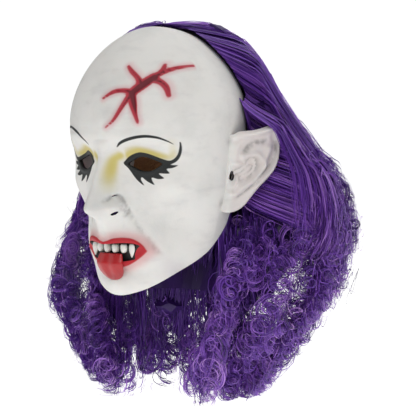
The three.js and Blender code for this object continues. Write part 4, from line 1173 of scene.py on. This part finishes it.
NAPE_RINGLETS = 150
nape_turn = dice.uniform(-1.5, 1.2, NAPE_RINGLETS)
nape_drop = 222 + 104 * dice.uniform(0, 1, NAPE_RINGLETS) ** 0.6
nape_x, nape_y = round_neck(nape_turn, dice.uniform(2, 32, NAPE_RINGLETS))
nape_starts = np.stack([nape_x, nape_y, -nape_drop], axis=-1)
nape_faces = unit(np.stack([-0.3 * np.sin(nape_turn), -1 + 0 * nape_turn, 0 * nape_turn], axis=-1))
ringlets("nape_ringlets", nape_starts, nape_faces, 0.38)


# Straight under-hair: the fibre left straight and darkened as painted shade, hanging inside the wig behind
# the jaw and round the nape.
# Its ribbons start beside the neck opening and bend a little as they fall.
def straight_hair(name, starts, length):
    """Straight ribbons from their start points, each as long as given, darkened as painted shade."""
    count, steps = len(starts), 8
    share = np.linspace(0, 1, steps)
    paths = starts[:, None, :] + share[None, :, None] * (length[:, None, None] * np.array([0, 0, -1.0]))
    bend = dice.normal(0, 5, (count, 1, 3)) * (1, 1, 0) * (share ** 2)[None, :, None]
    wave = np.sin(share[None, :] * dice.uniform(3, 9, (count, 1)) + dice.uniform(0, 6.3, (count, 1)))
    paths = paths + bend + (wave * 1.2)[..., None] * (1, 0.5, 0)
    # Painted shade: low tones make these strands darker than the rest of the hair
    tones = np.clip(dice.normal(0.2, 0.08, count), 0.0, 1)
    ribbons(name, paths, dice.uniform(0.6, 1.3, count), tones)


JAW_STRANDS, NAPE_STRANDS = 1100, 1700
jaw_starts = []
for hand in (1, -1):
    drop = dice.uniform(130, 205, JAW_STRANDS)
    turn = hand * front_turn(drop)
    edge = hair_point(drop, turn, 6.0)
    inner = NECK_HALF_WIDTH * ease(drop, 140, 200) + 70 * (1 - ease(drop, 140, 200))
    x = hand * (inner + (np.abs(edge[:, 0]) - inner) * 0.5 * dice.uniform(0, 1, JAW_STRANDS))
    jaw_starts.append(np.stack([x, front_edge(drop) + dice.uniform(0, 12, JAW_STRANDS), -drop], axis=-1))
jaw_starts = np.concatenate(jaw_starts)
straight_hair("jaw_hair", jaw_starts, dice.uniform(40, 80, len(jaw_starts)))
lining_x, lining_y = round_neck(dice.uniform(-1.6, 1.6, NAPE_STRANDS), 1.5)
lining_y = lining_y + dice.uniform(0, 4, NAPE_STRANDS)
lining_starts = np.stack([lining_x, lining_y, -dice.uniform(140, 240, NAPE_STRANDS)], axis=-1)
straight_hair("nape_hair", lining_starts, dice.uniform(50, 95, NAPE_STRANDS))


# Temple tufts: a short lock of fibre at each temple, knotted to a small step in the cap's edge above the ear.
# Its ribbons run from that edge down and back into the hair behind the ear.
TUFT_STRANDS = 130
tuft_starts, tuft_ends = [], []
for hand in (1, -1):
    share = dice.uniform(0, 1, TUFT_STRANDS)
    drop = 64 + 6 * share + dice.normal(0, 0.6, TUFT_STRANDS)
    tuft_starts.append(head_place(35 + 15 * share, -drop, hand, LATEX_WALL + 1.0))
    spread = dice.normal(0, 1.5, (TUFT_STRANDS, 3))
    reach = spread + np.stack([hand * (7 - 3 * share), 14 - 6 * share, -34 - 6 * share], axis=-1)
    tuft_ends.append(tuft_starts[-1] + reach)
tuft_starts, tuft_ends = np.concatenate(tuft_starts), np.concatenate(tuft_ends)
share = np.linspace(0, 1, 12)[None, :, None]
hang = np.array([0, -1.0, 0]) * 3.0 * np.sin(share * math.pi)
outward = unit(tuft_starts * (1, 0.3, 0))[:, None, :] * 2.6 * np.sin(share ** 0.7 * math.pi)
paths = tuft_starts[:, None] + share * (tuft_ends - tuft_starts)[:, None] + hang + outward
tuft_widths = dice.uniform(0.6, 1.1, 2 * TUFT_STRANDS)
ribbons("temple_tufts", paths, tuft_widths, np.clip(dice.normal(0.42, 0.12, 2 * TUFT_STRANDS), 0.05, 1))


# Loose frizz: single fibres that have sprung out of the ringlets and stand off all round the lower hair.
# Each is a thin ribbon that winds about once round a line pointing outwards.
count = 2400
drop = 95 + 245 * dice.uniform(0, 1, count) ** 0.85
hand = dice.choice((-1.0, 1.0), count)
turn = hand * (front_turn(drop) + (math.pi - front_turn(drop)) * dice.uniform(0, 1, count))
starts = hair_point(drop, turn, dice.uniform(0, 10, count))
outward = np.stack([np.sin(turn), -np.cos(turn), dice.normal(-0.1, 0.5, count)], axis=-1)
share = np.linspace(0, 1, 9)
aside = unit(dice.normal(0, 1, (count, 3)))
across = unit(np.cross(outward, aside))
size = dice.uniform(1.5, 6.0, (count, 1))
coil = share[None, :] * dice.uniform(3, 10, (count, 1)) + dice.uniform(0, 6.3, (count, 1))
paths = starts[:, None, :] + share[None, :, None] * (outward * dice.uniform(2, 13, (count, 1)))[:, None, :]
paths = paths + (size * np.cos(coil))[..., None] * aside[:, None, :]
paths = paths + (size * np.sin(coil))[..., None] * across[:, None, :]
frizz_widths = dice.uniform(0.2, 0.36, count)
ribbons("loose_frizz", paths, frizz_widths, np.clip(dice.normal(0.4, 0.12, count), 0, 1))
